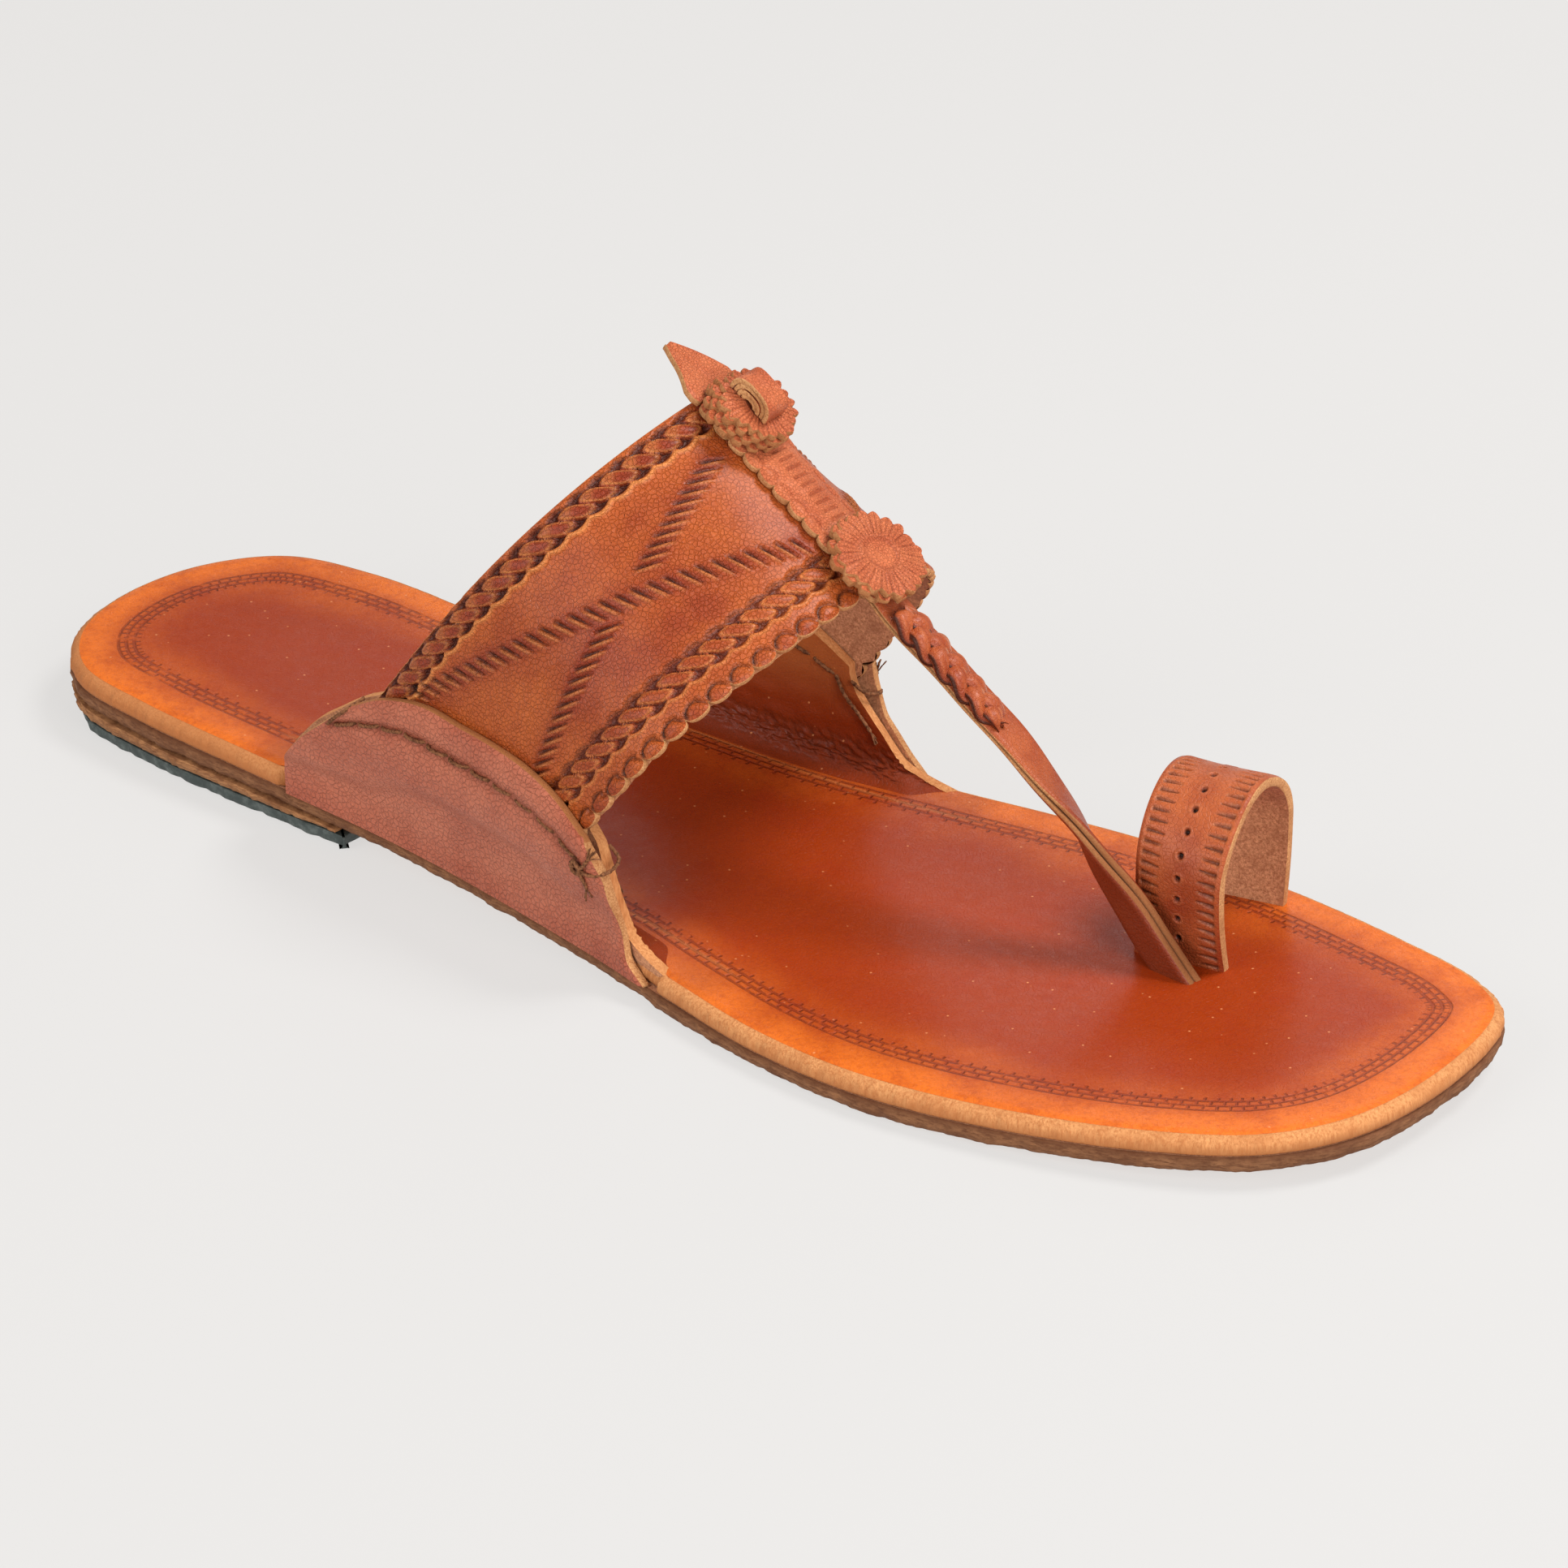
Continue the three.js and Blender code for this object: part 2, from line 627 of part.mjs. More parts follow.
function innerEar(side) {
  const sunk = (x) => insoleTop(x) - INSOLE_BEVEL;
  const tuck = (up) => -GAP - INNER_EAR_TUCK * Math.max(1 - up / INNER_EAR_TUCK_SHARE, 0);
  const thick = (x, z) => INNER_EAR_WALL + EAR_FILLET * clamp(1 - (z - insoleTop(x)) / EAR_FILLET, 0, 1) ** 2;
  const spread = (up) => {
    const foot = Math.max(1 - up / EAR_FRONT_FILLET_SHARE, 0) ** 2;
    return mix(-INNER_EAR_SET_BACK, EAR_FRONT_FILLET, foot);
  };
  const rows = [0, 0.04, ...EAR_ROWS.slice(1)];
  const outer = earGrid(side, rows, sunk, spread, (x, z, up) => tuck(up));
  const inner = earGrid(side, rows, sunk, spread, (x, z, up) => tuck(up) - thick(x, z));
  return wallBetween(outer, inner);
}

// The toe loop: upright legs and a half-round top, in an upright plane turned a little from straight across

const loopAcross = new THREE.Vector3(-Math.sin(LOOP_TURN), Math.cos(LOOP_TURN), 0);
const loopBack = new THREE.Vector3(-Math.cos(LOOP_TURN), -Math.sin(LOOP_TURN), 0);
const loopCorner = new THREE.Vector3(fromHeel(LOOP_FRONT_FROM_HEEL), LOOP_ACROSS, 0);
const loopFloor = insoleTop(loopCorner.x - LOOP_WIDTH / 2);

function loopLine(depth) {
  const radius = LOOP_SPAN / 2;
  const spring = loopFloor + LOOP_LEG;
  const legs = [-SLOT_DEPTH, 0, LOOP_LEG / 3, (LOOP_LEG * 2) / 3].map((rise) => loopFloor + rise);
  const arc = Array.from({ length: LOOP_ARC_STEPS + 1 }, (_, k) => Math.PI * (1 - k / LOOP_ARC_STEPS));
  const up = legs.map((z) => [depth, z]);
  const round = arc.map((angle) => [
    radius + (radius - depth) * Math.cos(angle),
    spring + (radius - depth) * Math.sin(angle),
  ]);
  const down = legs.toReversed().map((z) => [LOOP_SPAN - depth, z]);
  return [...up, ...round, ...down];
}

// How far the loop swells out of its legs' planes at a place of that line. Only its front half swells in
// full.
function loopSwell(across, z, share) {
  const radius = LOOP_SPAN / 2;
  const side = across / radius - 1;
  const rise = clamp((z - loopFloor) / (LOOP_LEG + radius), 0, 1);
  return side * (side < 0 ? LOOP_NEAR_SWELL : LOOP_FAR_SWELL) * Math.sin(Math.PI * rise) * (1 - share);
}

function toeLoop() {
  const grid = (depth) => [0, 0.25, 0.5, 0.75, 1].map((share) =>
    loopLine(depth).map(([across, z]) => {
      const out = across + loopSwell(across, z, share);
      const spot = loopCorner.clone().addScaledVector(loopBack, share * LOOP_WIDTH);
      return spot.addScaledVector(loopAcross, out).setZ(z);
    }),
  );
  return wallBetween(grid(0), grid(LOOP_WALL));
}

// The thong leaves the band's wall along the ridge and runs in a slight bow to its foot beside the toe loop

const braidAlong = FRONT_ROSETTE_ALONG + FRONT_ROSETTE_RADIUS + 2 * GAP;
const thongTop = ridgePoint(BAND_LENGTH - THONG_TUCK, THONG_BED);
const thongBend = ridgePoint(braidAlong, THONG_BED);
const thongFoot = new THREE.Vector3(
  fromHeel(THONG_FOOT_FROM_HEEL),
  THONG_FOOT_ACROSS,
  insoleTop(fromHeel(THONG_FOOT_FROM_HEEL)),
);

function thongLine() {
  const chord = thongFoot.clone().sub(thongBend).normalize();
  const bowed = new THREE.Vector3(-chord.z, 0, chord.x).multiplyScalar(THONG_BOW);
  const middle = thongBend.clone().lerp(thongFoot, THONG_BOW_SHARE).add(bowed);
  return new THREE.CatmullRomCurve3([thongTop, thongBend, middle, thongFoot], false, "centripetal");
}

// Places along the thong are distances from its end in the band's wall
const thongCurve = thongLine();
const thongLength = thongCurve.getLength();
const braidStart = thongTop.distanceTo(thongBend);
const braidEnd = braidStart + BRAID_LENGTH;

function thongFrame(place) {
  const centre = thongCurve.getPointAt(place / thongLength);
  const run = thongCurve.getTangentAt(place / thongLength);
  const share = smooth((place - braidEnd) / (thongLength - THONG_FOOT_WIDTH - braidEnd));
  const top = mix(THONG_TUCK_WIDTH, THONG_WIDTH, smooth(place / braidStart));
  const broad = mix(top, THONG_FOOT_WIDTH, share);
  const level = new THREE.Vector3(0, -1, 0).addScaledVector(run, run.y).normalize();
  const width = level.applyAxisAngle(run, -THONG_TWIST * share);
  const face = new THREE.Vector3().crossVectors(width, run).normalize();
  return { centre, run, width, face, share, broad };
}

// The strap's four corners, grown by a clearance
function thongCorners({ centre, width, face, share, broad }, clearance) {
  const half = broad / 2 + clearance;
  const thick = mix(THONG_THICK, THONG_FOOT_THICK, share) / 2 + clearance;
  return [[1, 1], [1, -1], [-1, -1], [-1, 1]].map(([a, b]) =>
    centre.clone().addScaledVector(width, a * half).addScaledVector(face, b * thick),
  );
}

// The strap's foot: its last section, run on to a level end
function thongFootRings(clearance, level) {
  const frame = thongFrame(thongLength - THONG_FOOT_WIDTH);
  const last = thongCorners(frame, clearance);
  const toLevel = (corner) => (level - corner.z) / frame.run.z;
  const end = last.map((corner) => corner.clone().addScaledVector(frame.run, toLevel(corner)));
  return [last, end];
}

function thongStrap() {
  const free = thongLength - THONG_FOOT_WIDTH;
  const places = Array.from({ length: STRAP_SECTIONS }, (_, k) => (free * k) / STRAP_SECTIONS);
  return tubeOf([
    ...places.map((place) => thongCorners(thongFrame(place), 0)),
    ...thongFootRings(0, thongFoot.z - SLOT_DEPTH),
  ]);
}

// A closed body through rings of as many points each
function tubeOf(rings) {
  const shell = new Shell();
  const loops = rings.map((ring) => shell.line(ring));
  for (let r = 0; r < loops.length - 1; r += 1) {
    loops[r].forEach((_, k) => {
      const next = (k + 1) % loops[r].length;
      shell.quad(loops[r][k], loops[r][next], loops[r + 1][next], loops[r + 1][k]);
    });
  }
  const cap = (loop) => {
    for (let k = 1; k < loop.length - 1; k += 1) shell.triangle(loop[0], loop[k], loop[k + 1]);
  };
  cap(loops[0].toReversed());
  cap(loops.at(-1));
  return shell.geometry();
}

// The braid: a two-lobed cord that turns as it runs down the front of the strap
function braid() {
  const rings = Array.from({ length: BRAID_STEPS + 1 }, (_, step) => {
    const place = mix(braidStart, braidEnd, step / BRAID_STEPS);
    const radius = mix(BRAID_TOP_RADIUS, BRAID_END_RADIUS, step / BRAID_STEPS);
    const { centre, width, face } = thongFrame(place);
    centre.addScaledVector(face, THONG_THICK / 2 + radius * BRAID_SEAT);
    const turn = (2 * Math.PI * place) / BRAID_PITCH;
    return Array.from({ length: BRAID_SIDES }, (_, k) => {
      const angle = (2 * Math.PI * k) / BRAID_SIDES;
      const lobe = mix(BRAID_WAIST, 1, Math.abs(Math.cos(angle - turn)));
      const across = radius * lobe * Math.cos(angle);
      const proud = radius * lobe * Math.sin(angle);
      return centre.clone().addScaledVector(width, across).addScaledVector(face, proud);
    });
  });
  return tubeOf(rings);
}

// The instep band

// Where the band ends in the clasp of an ear, as a distance from the ridge along its section
function bandFootOut(ruler, side) {
  const half = ruler.filter((row) => row.out * side >= 0);
  if (side > 0) half.reverse();
  return half.find(({ point }) => point.z >= earTopOver(point.x, side) - BAND_OVERLAP).out;
}

// A line across the band from foot to foot. raise lifts it where it shows, between the spine strip and the
// ears.
function bandRow(from, height, raise = 0) {
  const columns = BAND_TEETH * COLUMNS_PER_TOOTH;
  return Array.from({ length: columns + 1 }, (_, k) => {
    const share = (2 * k) / columns - 1;
    const along = from(1 - Math.abs(share), k);
    const ruler = rulerAt(along);
    const side = share < 0 ? -1 : 1;
    const out = bandFootOut(ruler, side) * Math.abs(share);
    const turn = turnAt(ruler, out);
    const under = lastPoint(along, turn);
    const bare = Math.min(Math.abs(out) - SPINE_HALF_WIDTH, under.z - earTopOver(under.x, side));
    return offLast(along, turn, height + raise * smooth((bare - ROPE_CLEAR) / ROPE_RUN_OUT));
  });
}

const rulers = new Map();
function rulerAt(along) {
  const key = along.toFixed(2);
  if (!rulers.has(key)) rulers.set(key, sectionRuler(Number(key)));
  return rulers.get(key);
}

function instepBand() {
  const rearEdge = (up) => -BAND_REAR_SWEEP * (1 - up);
  const frontEdge = (up) => BAND_LENGTH - BAND_FRONT_SWEEP * (1 - up);
  const teeth = (up, k) => frontEdge(up) - (k % COLUMNS_PER_TOOTH === 0 ? TOOTH_DEPTH : 0);
  const rear = (inset) => (up) => rearEdge(up) + inset;
  const front = (inset) => (up) => frontEdge(up) - inset;
  const middle = (up) => (rearEdge(up) + frontEdge(up)) / 2;
  const outer = [
    bandRow(rearEdge, BAND_WALL),
    bandRow(rear(REAR_ROPE_INSET), BAND_WALL),
    bandRow(rear(REAR_ROPE_INSET + ROPE_WIDTH / 2), BAND_WALL, ROPE_RAISE),
    bandRow(rear(REAR_ROPE_INSET + ROPE_WIDTH), BAND_WALL),
    bandRow(middle, BAND_WALL),
    bandRow(front(FRONT_ROPE_INSET + ROPE_WIDTH), BAND_WALL),
    bandRow(front(FRONT_ROPE_INSET + ROPE_WIDTH / 2), BAND_WALL, ROPE_RAISE),
    bandRow(front(FRONT_ROPE_INSET), BAND_WALL),
    bandRow(teeth, BAND_WALL),
  ];
  const inner = [rearEdge, middle, front(FRONT_ROPE_INSET), teeth].map((line) => bandRow(line, 0));
  return wallBetween(outer, inner);
}

// The trim on the ridge. Heights are over the last.

const bandTop = BAND_WALL + GAP;
const spineTop = bandTop + SPINE_WALL + GAP;
const discStep = DISC_RIM - DISC_SINK;
const rearRosetteTop = spineTop + DISC_THICK + (REAR_DISCS - 1) * discStep + GAP;

function spineStrip() {
  const end = BAND_LENGTH + SPINE_OVERHANG;
  const steps = Math.round((end - SPINE_START) / SPINE_PITCH) * COLUMNS_PER_TOOTH;
  const grid = (height) => Array.from({ length: steps + 1 }, (_, k) => {
    const along = mix(SPINE_START, end, k / steps);
    const half = SPINE_HALF_WIDTH + (k % COLUMNS_PER_TOOTH === 0 ? 0 : SPINE_TOOTH);
    const ruler = rulerAt(along);
    return Array.from({ length: SPINE_COLUMNS + 1 }, (_, column) => {
      const out = SPINE_SHIFT + mix(-half, half, column / SPINE_COLUMNS);
      return offLast(along, turnAt(ruler, out), height);
    });
  });
  return wallBetween(grid(bandTop + SPINE_WALL), grid(bandTop));
}

// A leather disc with a toothed rim, domed a little, standing on its local floor
function toothedDisc(radius, lift) {
  const shell = new Shell();
  const count = ROSETTE_TEETH * 2;
  const ring = (size, tooth, z) => Array.from({ length: count }, (_, k) => {
    const angle = (2 * Math.PI * k) / count;
    const out = size - (k % 2) * tooth;
    return shell.point(new THREE.Vector3(out * Math.cos(angle), out * Math.sin(angle), lift + z));
  });
  const rings = [
    ring(radius, ROSETTE_TOOTH, 0),
    ring(radius, ROSETTE_TOOTH, DISC_RIM),
    ring(radius * DISC_DISH, 0, DISC_THICK),
    ring(radius * DISC_DISH_FLOOR, 0, DISC_RIM),
  ];
  for (let r = 0; r < rings.length - 1; r += 1) {
    rings[r].forEach((_, k) => {
      const next = (k + 1) % count;
      shell.quad(rings[r][k], rings[r][next], rings[r + 1][next], rings[r + 1][k]);
    });
  }
  const under = shell.point(new THREE.Vector3(0, 0, lift));
  const over = shell.point(new THREE.Vector3(0, 0, lift + DISC_RIM));
  const [bottom, top] = [rings[0], rings.at(-1)];
  bottom.forEach((spot, k) => shell.triangle(bottom[(k + 1) % count], spot, under));
  top.forEach((spot, k) => shell.triangle(spot, top[(k + 1) % count], over));
  return shell.geometry();
}

// Discs stacked from large to small, each sunk a little into the one below, so that they are one body
function rosette(radius, discs) {
  const layers = Array.from({ length: discs }, (_, k) => {
    const disc = toothedDisc(radius * (1 - DISC_TAPER * k), k * discStep);
    return disc.rotateZ((k * Math.PI) / ROSETTE_TEETH / 2);
  });
  return joined(layers);
}

// The leaf lies on the band's rear edge, behind the spine strip, and its tip stands free
function tailLeaf() {
  const grid = (height) => LEAF_SHAPE.map(({ at, across }) =>
    [-1, 0, 1].map((share) => {
      const side = (share * across * LEAF_WIDTH) / 2;
      return new THREE.Vector3(-at * LEAF_REACH, side, height - LEAF_DROOP * at ** 2);
    }),
  );
  return wallBetween(grid(LEAF_WALL), grid(0));
}

// A strip folded over the rear rosette: up, across and down again
function foldedKnot() {
  const line = (depth) => Array.from({ length: KNOT_STEPS + 1 }, (_, k) => {
    const angle = Math.PI * (1 - k / KNOT_STEPS);
    return [(KNOT_SPAN / 2 - depth) * Math.cos(angle), (KNOT_RISE - depth) * Math.sin(angle)];
  });
  const grid = (depth) => [-1, 1].map((share) =>
    line(depth).map(([along, z]) => new THREE.Vector3(along, (share * KNOT_WIDTH) / 2, z)),
  );
  return wallBetween(grid(0), grid(KNOT_WALL));
}

// Slots in the insole, where the toe loop and the thong go in
function slotCutter(centre, length, width) {
  const box = new THREE.BoxGeometry(length + 2 * GAP, width + 2 * GAP, 4 * INSOLE_THICK);
  box.deleteAttribute("normal");
  box.deleteAttribute("uv");
  const matrix = new THREE.Matrix4().makeRotationZ(LOOP_TURN).setPosition(centre.x, centre.y, centre.z);
  const corners = new Shell();
  const merged = new Map();
  const position = box.applyMatrix4(matrix).attributes.position;
  const index = Array.from({ length: position.count }, (_, k) => {
    const spot = new THREE.Vector3().fromBufferAttribute(position, k);
    const key = spot.toArray().map((value) => value.toFixed(4)).join();
    if (!merged.has(key)) merged.set(key, corners.point(spot));
    return merged.get(key);
  });
  for (let k = 0; k < box.index.count; k += 3) {
    corners.triangle(...[0, 1, 2].map((corner) => index[box.index.getX(k + corner)]));
  }
  return corners.geometry();
}

function slots() {
  const middle = loopCorner.clone().addScaledVector(loopBack, LOOP_WIDTH / 2).setZ(loopFloor);
  const legs = [LOOP_WALL / 2, LOOP_SPAN - LOOP_WALL / 2].map((across) =>
    slotCutter(middle.clone().addScaledVector(loopAcross, across), LOOP_WIDTH, LOOP_WALL),
  );
  return [...legs, tubeOf(thongFootRings(GAP, thongFoot.z - 2 * INSOLE_THICK))];
}

function insole() {
  const whole = toSolid(joined([insoleSlab(), innerEar(1), innerEar(-1)]));
  return fromSolid(slots().map(toSolid).reduce((body, slot) => body.subtract(slot), whole));
}

// The assembly

function part(name, geometry, material) {
  const mesh = new THREE.Mesh(geometry, new THREE.MeshStandardMaterial(material));
  mesh.name = name;
  return mesh;
}

// A group whose floor lies on the ridge, at a height over the last, with +X down the slope
function onRidge(along, height, mesh) {
  const group = new THREE.Group();
  group.position.copy(ridgePoint(along, height));
  group.rotation.y = INSTEP_SLOPE;
  group.add(mesh);
  return group;
}

const soleGroup = new THREE.Group();
soleGroup.add(
  part("insole", insole(), MATERIALS.insole),
  part("outsole", outsole(), MATERIALS.outsole),
  part("heel_stack", heelLift(), MATERIALS.heelLift),
  part("heel_cap", heelRubber(), MATERIALS.rubber),
);

const upperGroup = new THREE.Group();
upperGroup.add(
  part("upper", joined([instepBand(), thongStrap(), braid()]), MATERIALS.band),
  part("ear_lateral", outerEar(-1), MATERIALS.ear),
  part("ear_medial", outerEar(1), MATERIALS.ear),
  part("toe_loop", toeLoop(), MATERIALS.band),
);

const frontRosette = part("rosette_front", rosette(FRONT_ROSETTE_RADIUS, FRONT_DISCS), MATERIALS.trim);
const rearRosette = part("rosette_rear", rosette(REAR_ROSETTE_RADIUS, REAR_DISCS), MATERIALS.trim);
const trimGroup = new THREE.Group();
trimGroup.add(
  part("spine_strip", spineStrip(), MATERIALS.trim),
  onRidge(SPINE_START - GAP, bandTop, part("tail_leaf", tailLeaf(), MATERIALS.trim)),
  onRidge(FRONT_ROSETTE_ALONG, spineTop, frontRosette),
  onRidge(REAR_ROSETTE_ALONG, spineTop, rearRosette),
  onRidge(REAR_ROSETTE_ALONG, rearRosetteTop, part("knot", foldedKnot(), MATERIALS.trim)),
);

const sandal = new THREE.Group();
sandal.add(soleGroup, upperGroup, trimGroup);

export default sandal;
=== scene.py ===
"""Finish of a leather toe-loop sandal: its surfaces, the light and the camera. The scene is in metres."""
import math

import bpy
import numpy as np
from mathutils import Matrix, Vector


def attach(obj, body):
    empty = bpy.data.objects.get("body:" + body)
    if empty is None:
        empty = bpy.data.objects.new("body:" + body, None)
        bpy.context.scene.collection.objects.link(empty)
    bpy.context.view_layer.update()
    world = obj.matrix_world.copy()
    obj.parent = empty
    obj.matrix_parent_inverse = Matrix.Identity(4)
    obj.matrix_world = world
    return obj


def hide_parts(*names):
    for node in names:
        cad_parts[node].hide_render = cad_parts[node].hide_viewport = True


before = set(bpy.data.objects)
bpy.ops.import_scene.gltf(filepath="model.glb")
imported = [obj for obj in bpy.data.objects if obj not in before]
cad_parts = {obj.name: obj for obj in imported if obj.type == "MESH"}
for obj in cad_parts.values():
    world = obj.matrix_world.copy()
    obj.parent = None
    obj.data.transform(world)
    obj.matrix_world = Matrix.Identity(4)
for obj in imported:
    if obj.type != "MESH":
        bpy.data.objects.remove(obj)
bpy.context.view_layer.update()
MM = 0.001

# The sandal's sizes in millimetres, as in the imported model
LENGTH = 283
BALL_WIDTH = 95
HEEL_HEIGHT = 12.6
INSOLE_THICK = 3.4
OUTSOLE_THICK = 3.25
RUBBER_THICK = 2.6
HEEL_LENGTH = 82.5
HEEL_BREAST_SLANT = 2
HEEL_INSET = 2
HEEL_TIP_LIFT = 1.4
HEEL_TIP_LENGTH = 24
INSOLE_BEVEL = 1.4
OUTSOLE_BEVEL = 1.2
GAP = 0.3

INSTEP_HEIGHT = 88.5
INSTEP_FROM_HEEL = 134.2
INSTEP_SLOPE = math.radians(35)
RIDGE_OFFSET = 4.5
FOOT_LEVEL = 9
WALL_TUCK = 1
LATERAL_FLARE = 2.9
MEDIAL_FLARE = 1.6
FLARE_SHARE = 0.35
LATERAL_ROOF_POWER = 1.35
MEDIAL_ROOF_POWER = 1.6
WALL_POWER = 0.5

BAND_LENGTH = 44
BAND_WALL = 1.6
BAND_REAR_SWEEP = 2.4
BAND_FRONT_SWEEP = 1.4
BAND_OVERLAP = 12
BAND_TEETH = 34
TOOTH_DEPTH = 1.4

EAR_FROM_HEEL = 70
EAR_LENGTH = 86.5
EAR_HEIGHT = 39.5
EAR_WALL = 1.8
EAR_BULGE = 6
EAR_BULGE_BELOW = 8
EAR_CLOSE = 6
EAR_CLOSE_AFTER = 3
INNER_EAR_WALL = 2.1
INNER_EAR_SET_BACK = 2.2
EAR_FRONT_FILLET = 9
EAR_FRONT_FILLET_SHARE = 0.25

# Plan of the sole. along: share of the length. medial and lateral: shares of half the ball width.
OUTLINE = [
    {"along": 0.0125, "medial": 0.36, "lateral": 0.345},
    {"along": 0.05, "medial": 0.63, "lateral": 0.577},
    {"along": 0.114, "medial": 0.72, "lateral": 0.66},
    {"along": 0.214, "medial": 0.72, "lateral": 0.695},
    {"along": 0.357, "medial": 0.7, "lateral": 0.71},
    {"along": 0.5, "medial": 0.785, "lateral": 0.81},
    {"along": 0.571, "medial": 0.87, "lateral": 0.898},
    {"along": 0.643, "medial": 0.954, "lateral": 0.98},
    {"along": 0.721, "medial": 1, "lateral": 1},
    {"along": 0.804, "medial": 0.975, "lateral": 0.925},
    {"along": 0.893, "medial": 0.886, "lateral": 0.76},
    {"along": 0.954, "medial": 0.783, "lateral": 0.555},
    {"along": 0.9875, "medial": 0.627, "lateral": 0.27},
]
TOE_TIP_ACROSS = 0.2

# Height of the insole's top. at: share of the length. top: share of the heel height.
PROFILE = [
    {"at": 0, "top": 1},
    {"at": 0.143, "top": 0.993},
    {"at": 0.25, "top": 0.92},
    {"at": 0.357, "top": 0.782},
    {"at": 0.5, "top": 0.604},
    {"at": 0.643, "top": 0.528},
    {"at": 0.75, "top": 0.563},
    {"at": 0.857, "top": 0.655},
    {"at": 1, "top": 0.817},
]

# Top edge of the ears. at: share of the way from the rear corner to the front one. The others: heights, as
# shares of the ear's height.
EAR_TOP = [
    {"at": 0, "lateral": 0.875, "medial": 0.86},
    {"at": 0.125, "lateral": 0.955, "medial": 0.94},
    {"at": 0.29, "lateral": 1, "medial": 0.98},
    {"at": 0.45, "lateral": 0.98, "medial": 0.97},
    {"at": 0.6, "lateral": 0.96, "medial": 0.93},
    {"at": 0.74, "lateral": 0.925, "medial": 0.87},
    {"at": 0.87, "lateral": 0.858, "medial": 0.78},
    {"at": 1, "lateral": 0.752, "medial": 0.66},
]

# Rear and front edges of the ears. at: share of the height. The others: shares of the ear's length drawn in.
EAR_EDGES = [
    {"at": 0, "rear": 0, "lateral": 0, "medial": 0},
    {"at": 0.1, "rear": 0, "lateral": 0.045, "medial": 0.012},
    {"at": 0.2, "rear": 0.003, "lateral": 0.057, "medial": 0.032},
    {"at": 0.32, "rear": 0.016, "lateral": 0.062, "medial": 0.058},
    {"at": 0.45, "rear": 0.046, "lateral": 0.066, "medial": 0.086},
    {"at": 0.63, "rear": 0.096, "lateral": 0.07, "medial": 0.126},
    {"at": 0.8, "rear": 0.16, "lateral": 0.077, "medial": 0.156},
    {"at": 0.92, "rear": 0.207, "lateral": 0.09, "medial": 0.166},
    {"at": 1, "rear": 0.243, "lateral": 0.113, "medial": 0.168},
]

HEEL_X = -LENGTH / 2
EAR_REAR_X = HEEL_X + EAR_FROM_HEEL
EAR_FRONT_X = EAR_REAR_X + EAR_LENGTH


def mix(a, b, share):
    return a + (b - a) * share


def smooth(share):
    held = np.clip(share, 0, 1)
    return held * held * (3 - 2 * held)


def table_value(table, column, at):
    """A smooth curve through one column of a table whose rows are ordered by `at`."""
    places = np.array([row["at"] for row in table], float)
    values = np.array([row[column] for row in table], float)
    slopes = np.diff(values) / np.diff(places)
    tangents = np.concatenate([[slopes[0]], (slopes[:-1] + slopes[1:]) / 2, [slopes[-1]]])
    spot = np.clip(np.asarray(at, float), places[0], places[-1])
    row = np.clip(np.searchsorted(places, spot, side="left") - 1, 0, len(places) - 2)
    span = places[row + 1] - places[row]
    t = (spot - places[row]) / span
    bow = tangents[row] * (1 - t) - tangents[row + 1] * t
    return mix(values[row], values[row + 1], t * t * (3 - 2 * t)) + t * (1 - t) * span * bow


def off_step(place, pitch):
    """The distance to the nearest of a row of evenly spaced places."""
    return np.abs(place / pitch - np.round(place / pitch)) * pitch


def scallop(phase):
    """The rounded profile of one scallop, 0 at its ends and 1 in its middle."""
    return np.sqrt(np.clip(1 - np.abs(2 * phase - 1) ** 2.2, 0, 1))


def distances(line):
    """How far along a line each of its points lies."""
    return np.concatenate([[0], np.cumsum(np.linalg.norm(np.diff(line, axis=0), axis=1))])


def along_line(spots, places, line):
    """The points at some distances along a line."""
    return np.stack([np.interp(spots, places, column) for column in line.T], axis=-1)


def catmull(points, count, closed=False):
    """Points on a centripetal curve through the given ones."""
    points = np.asarray(points, float)
    last = len(points)

    def spot(k):
        if closed:
            return points[k % last]
        if k < 0:
            return 2 * points[0] - points[1]
        return 2 * points[-1] - points[-2] if k >= last else points[k]

    spans = last if closed else last - 1
    line = []
    for place in np.linspace(0, spans, count, endpoint=not closed):
        k = min(int(place), spans - 1)
        t = place - k
        before, a, b, after = (spot(k + step) for step in (-1, 0, 1, 2))
        d0, d1, d2 = (max(np.linalg.norm(q - p) ** 0.5, 1e-6) for p, q in ((before, a), (a, b), (b, after)))
        leave = ((a - before) / d0 - (b - before) / (d0 + d1) + (b - a) / d1) * d1
        arrive = ((b - a) / d1 - (after - a) / (d1 + d2) + (after - b) / d2) * d1
        line.append(
            a + leave * t
            + (-3 * a + 3 * b - 2 * leave - arrive) * t ** 2
            + (2 * a - 2 * b + leave + arrive) * t ** 3
        )
    return np.array(line)


# The sole's plan


def outline_loop(count):
    """The sole's edge as a closed loop, from the heel along the medial side to the toe and back."""
    half = BALL_WIDTH / 2
    medial = [((row["along"] - 0.5) * LENGTH, row["medial"] * half) for row in OUTLINE]
    lateral = [((row["along"] - 0.5) * LENGTH, -row["lateral"] * half) for row in reversed(OUTLINE)]
    return catmull([(HEEL_X, 0), *medial, (-HEEL_X, TOE_TIP_ACROSS * half), *lateral], count, closed=True)


def rising(line):
    keep = [0]
    for k in range(1, len(line)):
        if line[k, 0] > line[keep[-1], 0]:
            keep.append(k)
    return line[keep]


